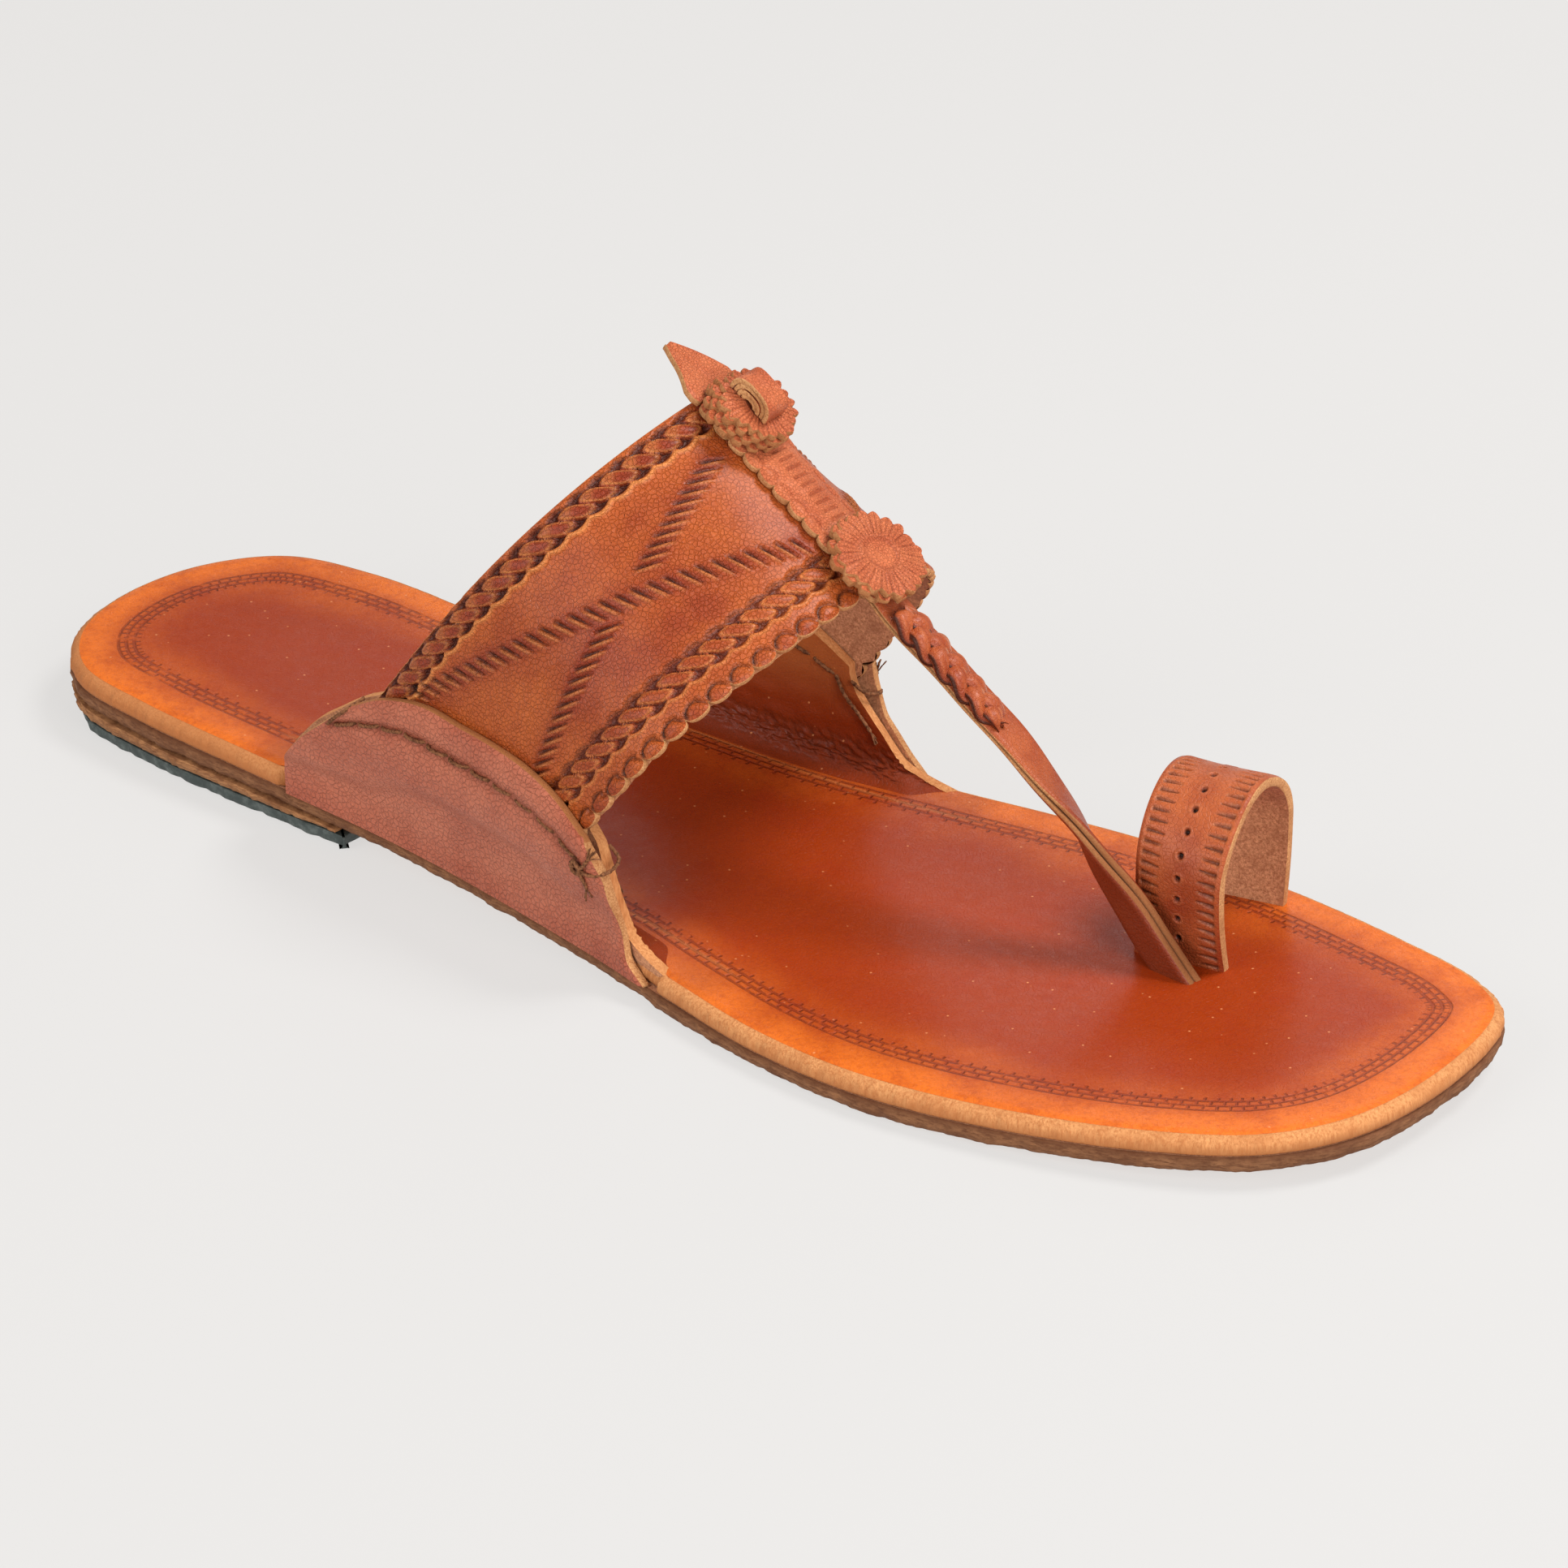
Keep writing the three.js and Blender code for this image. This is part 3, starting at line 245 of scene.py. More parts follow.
EDGE_POINTS = 1600
TOE_POINT = EDGE_POINTS // 2
EDGE = outline_loop(EDGE_POINTS)
SIDES = {1: rising(EDGE[:TOE_POINT + 1]), -1: rising(np.vstack([EDGE[TOE_POINT:], EDGE[:1]])[::-1])}


def edge_at(x, side):
    """The sole's edge at x, as y, on the medial (1) or lateral (-1) side."""
    return np.interp(x, SIDES[side][:, 0], SIDES[side][:, 1])


def insole_top(x):
    return HEEL_HEIGHT * table_value(PROFILE, "top", (np.asarray(x, float) - HEEL_X) / LENGTH)


def insole_under(x):
    return insole_top(x) - INSOLE_THICK


def outsole_top(x):
    return insole_under(x) - GAP


def outsole_under(x):
    return np.maximum(outsole_top(x) - OUTSOLE_THICK, 0)


# The last: a ridge line that slopes down to the toe, and sections square to it

RIDGE_START = np.array([HEEL_X + INSTEP_FROM_HEEL, RIDGE_OFFSET, INSTEP_HEIGHT])
SLOPE_RUN = np.array([math.cos(INSTEP_SLOPE), 0, -math.sin(INSTEP_SLOPE)])
SLOPE_UP = np.array([math.sin(INSTEP_SLOPE), 0, math.cos(INSTEP_SLOPE)])


def ridge_point(along, height):
    along, height = np.broadcast_arrays(np.asarray(along, float), np.asarray(height, float))
    return RIDGE_START + along[..., None] * SLOPE_RUN + height[..., None] * SLOPE_UP


def foot_drop(along):
    return (INSTEP_HEIGHT - FOOT_LEVEL - along * math.sin(INSTEP_SLOPE)) / math.cos(INSTEP_SLOPE)


def reach(x, side, rise):
    flare = np.where(side > 0, MEDIAL_FLARE, LATERAL_FLARE)
    lean = mix(-WALL_TUCK, flare, smooth(rise / FLARE_SHARE))
    edge = np.where(side > 0, edge_at(x, 1), edge_at(x, -1))
    return np.abs(edge - RIDGE_OFFSET) + lean


def roof_share(out, side):
    return out ** np.where(side > 0, MEDIAL_ROOF_POWER, LATERAL_ROOF_POWER)


def last_point(along, turn):
    along, turn = np.broadcast_arrays(np.asarray(along, float), np.asarray(turn, float))
    rise = np.sin(turn) ** WALL_POWER
    side = np.where(turn > math.pi / 2, 1, -1)
    point = ridge_point(along, -foot_drop(along) * (1 - rise))
    inward = roof_share(np.abs(np.cos(turn)), side)
    point[..., 1] = RIDGE_OFFSET + side * reach(point[..., 0], side, rise) * inward
    return point


def unit(vectors):
    return vectors / np.maximum(np.linalg.norm(vectors, axis=-1, keepdims=True), 1e-9)


def last_normal(along, turn):
    step = np.minimum(0.06, np.minimum(turn, math.pi - turn) / 3)
    across = last_point(along, turn + step) - last_point(along, turn - step)
    ahead = last_point(along + 0.5, turn) - last_point(along - 0.5, turn)
    return unit(np.cross(ahead, across))


def off_last(along, turn, height):
    return last_point(along, turn) + last_normal(along, turn) * np.asarray(height)[..., None]


def wall_point(x, z, side):
    x, z = np.broadcast_arrays(np.asarray(x, float), np.asarray(z, float))
    spot = np.stack([x - RIDGE_START[0], np.zeros_like(x), z - RIDGE_START[2]], axis=-1)
    along = spot @ SLOPE_RUN
    rise = np.clip(1 + (spot @ SLOPE_UP) / foot_drop(along), 0, 1)
    inward = roof_share(np.sqrt(1 - rise ** (2 / WALL_POWER)), side)
    return np.stack([x, RIDGE_OFFSET + side * reach(x, side, rise) * inward, z], axis=-1)


def ear_lift(x, z, side):
    """How far an outer ear stands off the wall: over the band, but not below or ahead of it."""
    foot = ear_top_over(x, side) - BAND_OVERLAP
    along = (x - RIDGE_START[0]) * SLOPE_RUN[0] + (z - RIDGE_START[2]) * SLOPE_RUN[2]
    ahead = along - (BAND_LENGTH - BAND_FRONT_SWEEP)
    over_foot = smooth((z - foot + EAR_BULGE_BELOW) / EAR_BULGE)
    return (BAND_WALL + GAP) * over_foot * smooth((EAR_CLOSE_AFTER + EAR_CLOSE - ahead) / EAR_CLOSE)


def off_wall(x, z, side, height):
    ahead = wall_point(x + 1, z, side) - wall_point(x - 1, z, side)
    above = wall_point(x, z + 1, side) - wall_point(x, z - 1, side)
    normal = unit(np.cross(above, ahead) * side)
    return wall_point(x, z, side) + normal * np.asarray(height)[..., None]


# Turns over a grid of places along the ridge and distances from it along the surface
ALONG_STEP = 0.5
OUT_STEP = 0.25
RULER_ALONG = np.arange(-16, 56.1, ALONG_STEP)
RULER_OUT = np.arange(-130, 130.1, OUT_STEP)
RIDGE_TURN = 160


def ruler_tables():
    turns = np.linspace(0.01, math.pi - 0.01, 2 * RIDGE_TURN + 1)
    turn_rows, foot_rows = [], []
    for along in RULER_ALONG:
        points = last_point(along, turns)
        out = distances(points)
        out -= out[RIDGE_TURN]
        turn_rows.append(np.interp(RULER_OUT, out, turns))
        over = [points[:, 2] - (ear_top_over(points[:, 0], side) - BAND_OVERLAP) for side in (-1, 1)]
        lateral = np.nonzero(over[0][:RIDGE_TURN + 1] >= 0)[0][0]
        medial = RIDGE_TURN + np.nonzero(over[1][RIDGE_TURN:] >= 0)[0][-1]
        foot_rows.append((out[lateral], out[medial]))
    return np.array(turn_rows), np.array(foot_rows)


def ear_rear(up):
    return EAR_REAR_X + EAR_LENGTH * table_value(EAR_EDGES, "rear", up)


def ear_front(up, side):
    name = "medial" if side > 0 else "lateral"
    return EAR_FRONT_X - EAR_LENGTH * table_value(EAR_EDGES, name, up)


def ear_top(share, side):
    return EAR_HEIGHT * table_value(EAR_TOP, "medial" if side > 0 else "lateral", share)


def ear_top_over(x, side):
    rear, front = ear_rear(1), ear_front(1, side)
    return ear_top((x - rear) / (front - rear), side)


TURNS, FEET = ruler_tables()


def turn_at(along, out):
    """The turn of a section at a distance from the ridge along the surface, negative on the lateral side."""
    along, out = np.broadcast_arrays(np.asarray(along, float), np.asarray(out, float))
    row = np.clip((along - RULER_ALONG[0]) / ALONG_STEP, 0, len(RULER_ALONG) - 1.001)
    column = np.clip((out - RULER_OUT[0]) / OUT_STEP, 0, len(RULER_OUT) - 1.001)
    r, c = row.astype(int), column.astype(int)
    fr, fc = row - r, column - c
    near = mix(TURNS[r, c], TURNS[r, c + 1], fc)
    far = mix(TURNS[r + 1, c], TURNS[r + 1, c + 1], fc)
    return mix(near, far, fr)


def band_foot_out(along, side):
    return np.interp(along, RULER_ALONG, FEET[:, 0 if side < 0 else 1])


# Meshes made from grids of points

VALUES = ("dark", "shade", "light", "along", "inside")


class Shape:
    """Points, faces and painted values of one piece, in millimetres."""

    def __init__(self):
        self.points = []
        self.faces = []
        self.slots = []
        self.values = {name: [] for name in VALUES}
        self.count = 0

    def add(self, points, faces, slot=0, **values):
        points = np.asarray(points, float)
        flat = points.reshape(-1, 3)
        self.points.append(flat)
        self.faces.append(np.asarray(faces) + self.count)
        self.slots.append(np.full(len(faces), slot))
        for name in VALUES:
            given = np.broadcast_to(np.asarray(values.get(name, 0), float), points.shape[:-1])
            self.values[name].append(given.reshape(-1))
        self.count += len(flat)

    def grid(self, points, slot=0, flip=False, closed=False, row_slots=None, **values):
        """Quads over a grid. closed joins its last row to its first. row_slots: a slot for each row."""
        rows, columns = points.shape[:2]
        ids = np.arange(rows * columns).reshape(rows, columns)
        if closed:
            ids = np.vstack([ids, ids[:1]])
        quads = np.stack([ids[:-1, :-1], ids[1:, :-1], ids[1:, 1:], ids[:-1, 1:]], axis=-1).reshape(-1, 4)
        self.add(points, quads[:, ::-1] if flip else quads, slot, **values)
        if row_slots is not None:
            self.slots[-1] = np.repeat(row_slots, columns - 1)

    def sheet(self, outer, inner, slots=(0, 1, 2), bulge=0.2, thin=1, flip=False, edge_shade=None, **values):
        """A sheet of leather: its face, its back, and the rounded cut edge between them."""
        self.grid(outer, slots[0], flip=flip, **values)
        rows = np.unique(np.append(np.arange(0, inner.shape[0], thin), inner.shape[0] - 1))
        columns = np.unique(np.append(np.arange(0, inner.shape[1], thin), inner.shape[1] - 1))
        self.grid(inner[np.ix_(rows, columns)], slots[1], flip=not flip)
        over, under = border(outer), border(inner)
        outward = unit(over - border(outer, 1) + under - border(inner, 1))
        shares = np.array([0, 0.06, 0.25, 0.5, 0.75, 0.94, 1])
        rim = over[:, None] * (1 - shares[:, None]) + under[:, None] * shares[:, None]
        rim = rim + outward[:, None] * (bulge * np.sin(math.pi * shares) ** 0.5)[:, None]
        burnish_and_shade = 0 if edge_shade is None else border(edge_shade)[:, None] + 0 * shares
        self.grid(rim, slots[2], closed=True, flip=flip, shade=burnish_and_shade)

    def tube(self, rings, slot=0, flip=False, row_slots=None, **values):
        """A closed body through rings of points. row_slots gives each side of the rings its own slot."""
        rings = np.asarray(rings, float)
        across = {name: np.asarray(value).T for name, value in values.items() if np.ndim(value) == 2}
        others = {name: value for name, value in values.items() if np.ndim(value) < 2}
        around = rings.transpose(1, 0, 2)
        self.grid(around, slot, closed=True, flip=flip, row_slots=row_slots, **across, **others)
        for ring, turned in ((rings[0], not flip), (rings[-1], flip)):
            order = np.arange(len(ring))[None]
            self.add(ring, order[:, ::-1] if turned else order, slot, **others)


def border(grid, inside=0):
    """The points round a grid, or their neighbours `inside` steps within it."""
    k = inside
    sides = [grid[k, :-1], grid[:-1, -1 - k], grid[-1 - k, :0:-1], grid[:0:-1, k]]
    return np.concatenate(sides)


def add_object(name, data):
    made = bpy.data.objects.new(name, data)
    bpy.context.scene.collection.objects.link(made)
    return made


def make_piece(name, shape, materials, nodes):
    """Turns a shape into an object that rides on the part and stands for its CAD nodes."""
    mesh = bpy.data.meshes.new(name)
    points = np.concatenate(shape.points) * MM
    totals = np.concatenate([np.full(len(faces), faces.shape[1]) for faces in shape.faces])
    corners = np.concatenate([faces.reshape(-1) for faces in shape.faces])
    mesh.vertices.add(len(points))
    mesh.vertices.foreach_set("co", points.reshape(-1))
    mesh.loops.add(len(corners))
    mesh.loops.foreach_set("vertex_index", corners.astype(np.int32))
    mesh.polygons.add(len(totals))
    starts = np.concatenate([[0], np.cumsum(totals)[:-1]])
    mesh.polygons.foreach_set("loop_start", starts.astype(np.int32))
    mesh.polygons.foreach_set("material_index", np.concatenate(shape.slots).astype(np.int32))
    mesh.polygons.foreach_set("use_smooth", np.ones(len(totals), bool))
    for value in VALUES:
        attribute = mesh.attributes.new(value, "FLOAT", "POINT")
        attribute.data.foreach_set("value", np.concatenate(shape.values[value]).astype(np.float32))
    for material in materials:
        mesh.materials.append(material)
    mesh.update(calc_edges=True)
    mesh.validate()
    piece = add_object(name, mesh)
    if nodes:
        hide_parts(*nodes)
    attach(piece, "root")


def ripple(place, shortest, longest, seed, count=7):
    """A smooth uneven line, about -1 to 1, from waves of several lengths."""
    chance = np.random.default_rng(seed)
    waves = np.geomspace(shortest, longest, count)
    phases = chance.uniform(0, 2 * math.pi, count)
    total = sum(np.sin(2 * math.pi * place / wave + phase) for wave, phase in zip(waves, phases))
    return total / math.sqrt(count)


def blotch(x, y, size, seed, count=9):
    """A smooth uneven field over two directions, about -1 to 1."""
    chance = np.random.default_rng(seed)
    total = 0
    for _ in range(count):
        angle = chance.uniform(0, 2 * math.pi)
        wave = size * chance.uniform(0.6, 1.7)
        spot = x * math.cos(angle) + y * math.sin(angle)
        total = total + np.sin(2 * math.pi * spot / wave + chance.uniform(0, 2 * math.pi))
    return total / math.sqrt(count)


def bell(distance, width):
    return np.exp(-((distance / width) ** 2))


# Materials

# The Mix node's sockets for colours
MIX_COLOURS = (6, 7)
MIX_RESULT = 2
STAMP = (0.035, 0.008, 0.003)
CHAIN_INSIDE = 10.6


class Finish:
    """A material's nodes, with textures laid out in millimetres."""

    def __init__(self, name, roughness=0.5, coat=0.0, coat_roughness=0.3, specular=0.5, sheen=0.0):
        self.material = bpy.data.materials.new(name)
        self.material.use_nodes = True
        self.tree = self.material.node_tree
        self.shader = self.tree.nodes["Principled BSDF"]
        settings = {
            "Roughness": roughness,
            "Coat Weight": coat,
            "Coat Roughness": coat_roughness,
            "Specular IOR Level": specular,
            "Sheen Weight": sheen,
        }
        for socket, value in settings.items():
            self.shader.inputs[socket].default_value = value
        place = self.tree.nodes.new("ShaderNodeTexCoord")
        scale = self.tree.nodes.new("ShaderNodeMapping")
        scale.inputs["Scale"].default_value = (1 / MM, 1 / MM, 1 / MM)
        self.tree.links.new(place.outputs["Object"], scale.inputs["Vector"])
        self.place = scale.outputs["Vector"]

    def put(self, socket, value):
        if isinstance(value, bpy.types.NodeSocket):
            self.tree.links.new(value, socket)
        elif isinstance(value, (tuple, list)) and len(value) == 3 and socket.type == "RGBA":
            socket.default_value = (*value, 1)
        else:
            socket.default_value = value

    def value(self, name):
        node = self.tree.nodes.new("ShaderNodeAttribute")
        node.attribute_name = name
        return node.outputs["Fac"]

    def stretched(self, scale):
        node = self.tree.nodes.new("ShaderNodeMapping")
        self.put(node.inputs["Vector"], self.place)
        node.inputs["Scale"].default_value = scale
        return node.outputs["Vector"]

    def flat(self, x, y):
        node = self.tree.nodes.new("ShaderNodeCombineXYZ")
        self.put(node.inputs["X"], x)
        self.put(node.inputs["Y"], y)
        return node.outputs["Vector"]

    def noise(self, size, detail=2.0, rough=0.5, place=None):
        node = self.tree.nodes.new("ShaderNodeTexNoise")
        self.put(node.inputs["Vector"], place or self.place)
        node.inputs["Scale"].default_value = 1 / size
        node.inputs["Detail"].default_value = detail
        node.inputs["Roughness"].default_value = rough
        return node.outputs["Fac"]

    def cells(self, size, feature="DISTANCE_TO_EDGE", place=None):
        node = self.tree.nodes.new("ShaderNodeTexVoronoi")
        node.feature = feature
        self.put(node.inputs["Vector"], place or self.place)
        node.inputs["Scale"].default_value = 1 / size
        return node.outputs["Distance"]

    def math(self, operation, a, b=0.0, clamp=False):
        node = self.tree.nodes.new("ShaderNodeMath")
        node.operation = operation
        node.use_clamp = clamp
        self.put(node.inputs[0], a)
        self.put(node.inputs[1], b)
        return node.outputs[0]

    def span(self, fac, low, high, start=0.0, end=1.0):
        node = self.tree.nodes.new("ShaderNodeMapRange")
        node.interpolation_type = "SMOOTHSTEP"
        self.put(node.inputs["Value"], fac)
        for socket, value in zip(("From Min", "From Max", "To Min", "To Max"), (low, high, start, end)):
            node.inputs[socket].default_value = value
        return node.outputs["Result"]

    def mix(self, fac, a, b):
        node = self.tree.nodes.new("ShaderNodeMix")
        node.data_type = "RGBA"
        self.put(node.inputs["Factor"], fac)
        for socket, value in zip(MIX_COLOURS, (a, b)):
            self.put(node.inputs[socket], value)
        return node.outputs[MIX_RESULT]

    def bump(self, height, depth, under=None):
        """Relief `depth` millimetres deep."""
        node = self.tree.nodes.new("ShaderNodeBump")
        node.inputs["Distance"].default_value = depth * MM
        self.put(node.inputs["Height"], height)
        if under:
            self.put(node.inputs["Normal"], under)
        return node.outputs["Normal"]

    def done(self, colour, roughness=None, normal=None):
        self.put(self.shader.inputs["Base Color"], colour)
        if roughness:
            self.put(self.shader.inputs["Roughness"], roughness)
        if normal:
            self.put(self.shader.inputs["Normal"], normal)
        return self.material


def leather(
    name, base, deep, pale, grain=0.8, depth=0.06, gloss=0.4, coat=0.1, cloud=18, cloud_share=0.5, specks=0.0
):
    """Dyed leather. Values on the mesh darken it (shade), lighten it (light) and blacken it (dark): its own
    tones and stamps, and in places painted shade and painted highlights.
    """
    finish = Finish(name, coat=coat, coat_roughness=0.25, specular=0.25)
    clouds = finish.span(finish.noise(cloud, 4, 0.6), 0.38, 0.66, 0, cloud_share)
    depth_of_tone = finish.math("ADD", finish.value("shade"), clouds, clamp=True)
    colour = finish.mix(depth_of_tone, base, deep)
    mottle = finish.span(finish.noise(grain * 3, 3, 0.7), 0.35, 0.7, 0, 0.25)
    colour = finish.mix(mottle, colour, deep)
    if specks:
        wear_and_shade = finish.span(finish.noise(0.8, 5, 0.8), 0.6, 0.72, 0, specks)
        colour = finish.mix(wear_and_shade, colour, pale)
    colour = finish.mix(finish.value("light"), colour, pale)
    colour = finish.mix(finish.value("dark"), colour, STAMP)
    pores = finish.math("MULTIPLY", finish.span(finish.cells(grain), 0.0, 0.14), 0.8)
    fine = finish.noise(grain * 0.4, 3, 0.6)
    height = finish.math("ADD", pores, fine)
    wide = finish.bump(finish.noise(7, 2, 0.5), 0.3)
    normal = finish.bump(height, depth, wide)
    rough = finish.span(finish.noise(grain * 2, 2), 0.3, 0.7, gloss - 0.06, gloss + 0.08)
    return finish.done(colour, rough, normal)


def raw_edge(name, pale, brown, fibre=(2.2, 2.2, 0.35)):
    """Cut leather: pale fibres with brown burnished stretches."""
    finish = Finish(name, roughness=0.8, specular=0.25)
    strands = finish.noise(1, 5, 0.75, finish.stretched(fibre))
    stain = finish.span(finish.noise(6, 3, 0.6), 0.42, 0.68)
    colour = finish.mix(finish.span(strands, 0.35, 0.7), pale, brown)
    colour = finish.mix(finish.math("MULTIPLY", stain, 0.5), colour, brown)
    # The shade value darkens the edge to brown: the ears' dark top edges, and painted shade low on the sole's
    # edges, towards the heel, at the thong's foot and on the lower rosette discs.
    colour = finish.mix(finish.value("shade"), colour, brown)
    colour = finish.mix(finish.value("dark"), colour, STAMP)
    return finish.done(colour, None, finish.bump(strands, 0.25))


def suede(name, pale, brown):
    """The flesh side: mottled nap."""
    finish = Finish(name, roughness=0.95, specular=0.2, sheen=0.1)
    nap = finish.noise(0.5, 4, 0.8)
    patches = finish.noise(3, 3, 0.7)
    colour = finish.mix(finish.span(nap, 0.3, 0.7), pale, brown)
    colour = finish.mix(finish.span(patches, 0.45, 0.7, 0, 0.6), colour, brown)
    return finish.done(colour, None, finish.bump(nap, 0.2))


def insole_leather():
    """Glazed leather, deep red in the middle and orange near its edge, with a faint stamped chain."""
    finish = Finish("insole_leather", coat=0.12, coat_roughness=0.24, specular=0.15)
    inside = finish.value("inside")
    clouds = finish.noise(34, 3, 0.55)
    patches = finish.noise(9, 4, 0.65)
    middle = finish.span(finish.math("ADD", inside, finish.math("MULTIPLY", clouds, 22)), 10, 34)
    colour = finish.mix(middle, (0.72, 0.155, 0.015), (0.31, 0.034, 0.003))
    colour = finish.mix(finish.span(patches, 0.45, 0.72, 0, 0.4), colour, (0.30, 0.026, 0.004))
    grime = finish.span(finish.noise(1.1, 4, 0.7), 0.42, 0.7, 0, 0.3)
    colour = finish.mix(grime, colour, (0.24, 0.02, 0.004))
    # The shade value darkens the inner ears and puts painted shade at the foot of the ears and in the inner
    # ears' bends and wrinkle troughs.
    colour = finish.mix(finish.value("shade"), colour, (0.18, 0.026, 0.006))
    specks = finish.span(finish.cells(3.2, "F1"), 0.03, 0.09, 0.7, 0)
    colour = finish.mix(specks, colour, (0.75, 0.3, 0.12))
    chain = chain_stamp(finish, inside)
    near_chain = finish.math("ABSOLUTE", finish.math("SUBTRACT", inside, CHAIN_INSIDE))
    colour = finish.mix(finish.span(near_chain, 1, 5, 0.3, 0), colour, (0.26, 0.022, 0.006))
    colour = finish.mix(finish.math("MULTIPLY", chain, 0.5), colour, (0.14, 0.014, 0.008))
    colour = finish.mix(finish.value("light"), colour, (0.66, 0.26, 0.08))
    colour = finish.mix(finish.value("dark"), colour, STAMP)
    grain = finish.span(finish.cells(0.75), 0.0, 0.1)
    fine = finish.math("ADD", finish.math("MULTIPLY", grain, 0.5), finish.noise(0.5, 3, 0.7))
    wide = finish.bump(finish.noise(14, 2), 0.6)
    stamped = finish.bump(finish.math("MULTIPLY", chain, -1), 0.3, wide)
    normal = finish.bump(fine, 0.07, stamped)
    rough = finish.span(finish.noise(2.5, 3), 0.3, 0.7, 0.34, 0.5)
    return finish.done(colour, rough, normal)


def chain_stamp(finish, inside):
    """Two rows of small stamped cells at a set distance within the insole's edge."""
    bricks = finish.tree.nodes.new("ShaderNodeTexBrick")
    place = finish.flat(finish.value("along"), inside)
    finish.put(bricks.inputs["Vector"], place)
    settings = {"Scale": 1, "Mortar Size": 0.46, "Mortar Smooth": 0.9, "Brick Width": 2.7, "Row Height": 1.45}
    for socket, value in settings.items():
        bricks.inputs[socket].default_value = value
    bricks.offset = 0.5
    rows = finish.span(finish.math("ABSOLUTE", finish.math("SUBTRACT", inside, CHAIN_INSIDE)), 1.9, 2.3, 1, 0)
    wear_and_shade = finish.span(finish.noise(3.5, 3, 0.7), 0.3, 0.5, 0.25, 1)
    return finish.math("MULTIPLY", finish.math("MULTIPLY", bricks.outputs["Fac"], rows), wear_and_shade)


def rubber():
    """Dark moulded rubber, scuffed and chalky."""
    finish = Finish("heel_rubber", roughness=0.7, specular=0.35)
    scuffs = finish.noise(2.5, 5, 0.7)
    colour = finish.mix(finish.span(scuffs, 0.4, 0.75), (0.040, 0.052, 0.048), (0.13, 0.15, 0.14))
    return finish.done(colour, finish.span(scuffs, 0.3, 0.7, 0.55, 0.85), finish.bump(scuffs, 0.15))


def waxed_thread():
    finish = Finish("waxed_thread", roughness=0.8, specular=0.15)
    strands = finish.noise(0.5, 3, 0.6)
    colour = finish.mix(finish.span(strands, 0.35, 0.7), (0.26, 0.105, 0.045), (0.07, 0.024, 0.010))
    return finish.done(colour, None, finish.bump(strands, 0.12))


BAND_LEATHER = leather(
    "band_leather", (0.47, 0.098, 0.014), (0.24, 0.027, 0.004), (0.78, 0.30, 0.08),
    grain=0.8, depth=0.19, gloss=0.42, coat=0.14, cloud=14, cloud_share=0.42,
)
EAR_LEATHER = leather(
    "ear_leather", (0.51, 0.150, 0.080), (0.34, 0.070, 0.034), (0.62, 0.26, 0.16),
    grain=1.0, depth=0.22, gloss=0.5, coat=0.06, specks=0.15,
)
TRIM_LEATHER = leather(
    "trim_leather", (0.57, 0.150, 0.055), (0.38, 0.066, 0.020), (0.80, 0.40, 0.18),
    grain=0.6, depth=0.16, gloss=0.52, coat=0.05, cloud=6, specks=0.35,
)
LOOP_LEATHER = leather(
    "loop_leather", (0.42, 0.098, 0.028), (0.27, 0.042, 0.012), (0.68, 0.27, 0.12),
    grain=0.8, depth=0.08, gloss=0.42, coat=0.1, cloud=8,
)
INSOLE_LEATHER = insole_leather()
INSOLE_EDGE = raw_edge("insole_edge", (0.70, 0.32, 0.12), (0.46, 0.155, 0.045))
CUT_EDGE = raw_edge("cut_edge", (0.72, 0.38, 0.16), (0.36, 0.12, 0.035), fibre=(3, 3, 3))
FLESH = suede("flesh_side", (0.74, 0.36, 0.18), (0.34, 0.125, 0.055))
OUTSOLE_EDGE = raw_edge("outsole_edge", (0.30, 0.13, 0.055), (0.12, 0.04, 0.015), fibre=(0.5, 0.5, 2.2))
LIFT_EDGE = raw_edge("lift_edge", (0.46, 0.21, 0.085), (0.17, 0.06, 0.022), fibre=(0.4, 0.4, 2.6))
RUBBER = rubber()
THREAD = waxed_thread()


# The sole

RIM_POINTS = 1400
HEEL_POINTS = 900
HEEL_STEP = 0.27
SEEN_RINGS = 10
HIDDEN_RINGS = 5
SLAB_ROWS = 350
SLAB_COLUMNS = 136
SLAB_START = 0.035
SEAT_MARGIN = 1.5


def even_loop(loop, count):
    """A closed loop with its points evenly spaced."""
    closed = np.vstack([loop, loop[:1]])
    places = distances(closed)
    return along_line(np.linspace(0, places[-1], count, endpoint=False), places, closed)


def outward(loop):
    run = unit(np.roll(loop, -2, axis=0) - np.roll(loop, 2, axis=0))
    return np.stack([run[:, 1], -run[:, 0]], axis=1) * OUTLINE_TURN


RIM = even_loop(EDGE, RIM_POINTS)
OUTLINE_TURN = np.sign(np.sum(RIM[:, 0] * np.roll(RIM[:, 1], -1) - RIM[:, 1] * np.roll(RIM[:, 0], -1)))
RIM_LENGTH = np.sum(np.linalg.norm(np.roll(RIM, -1, axis=0) - RIM, axis=1))
RIM_PLACE = np.arange(RIM_POINTS) * RIM_LENGTH / RIM_POINTS
RIM_OUT = outward(RIM)


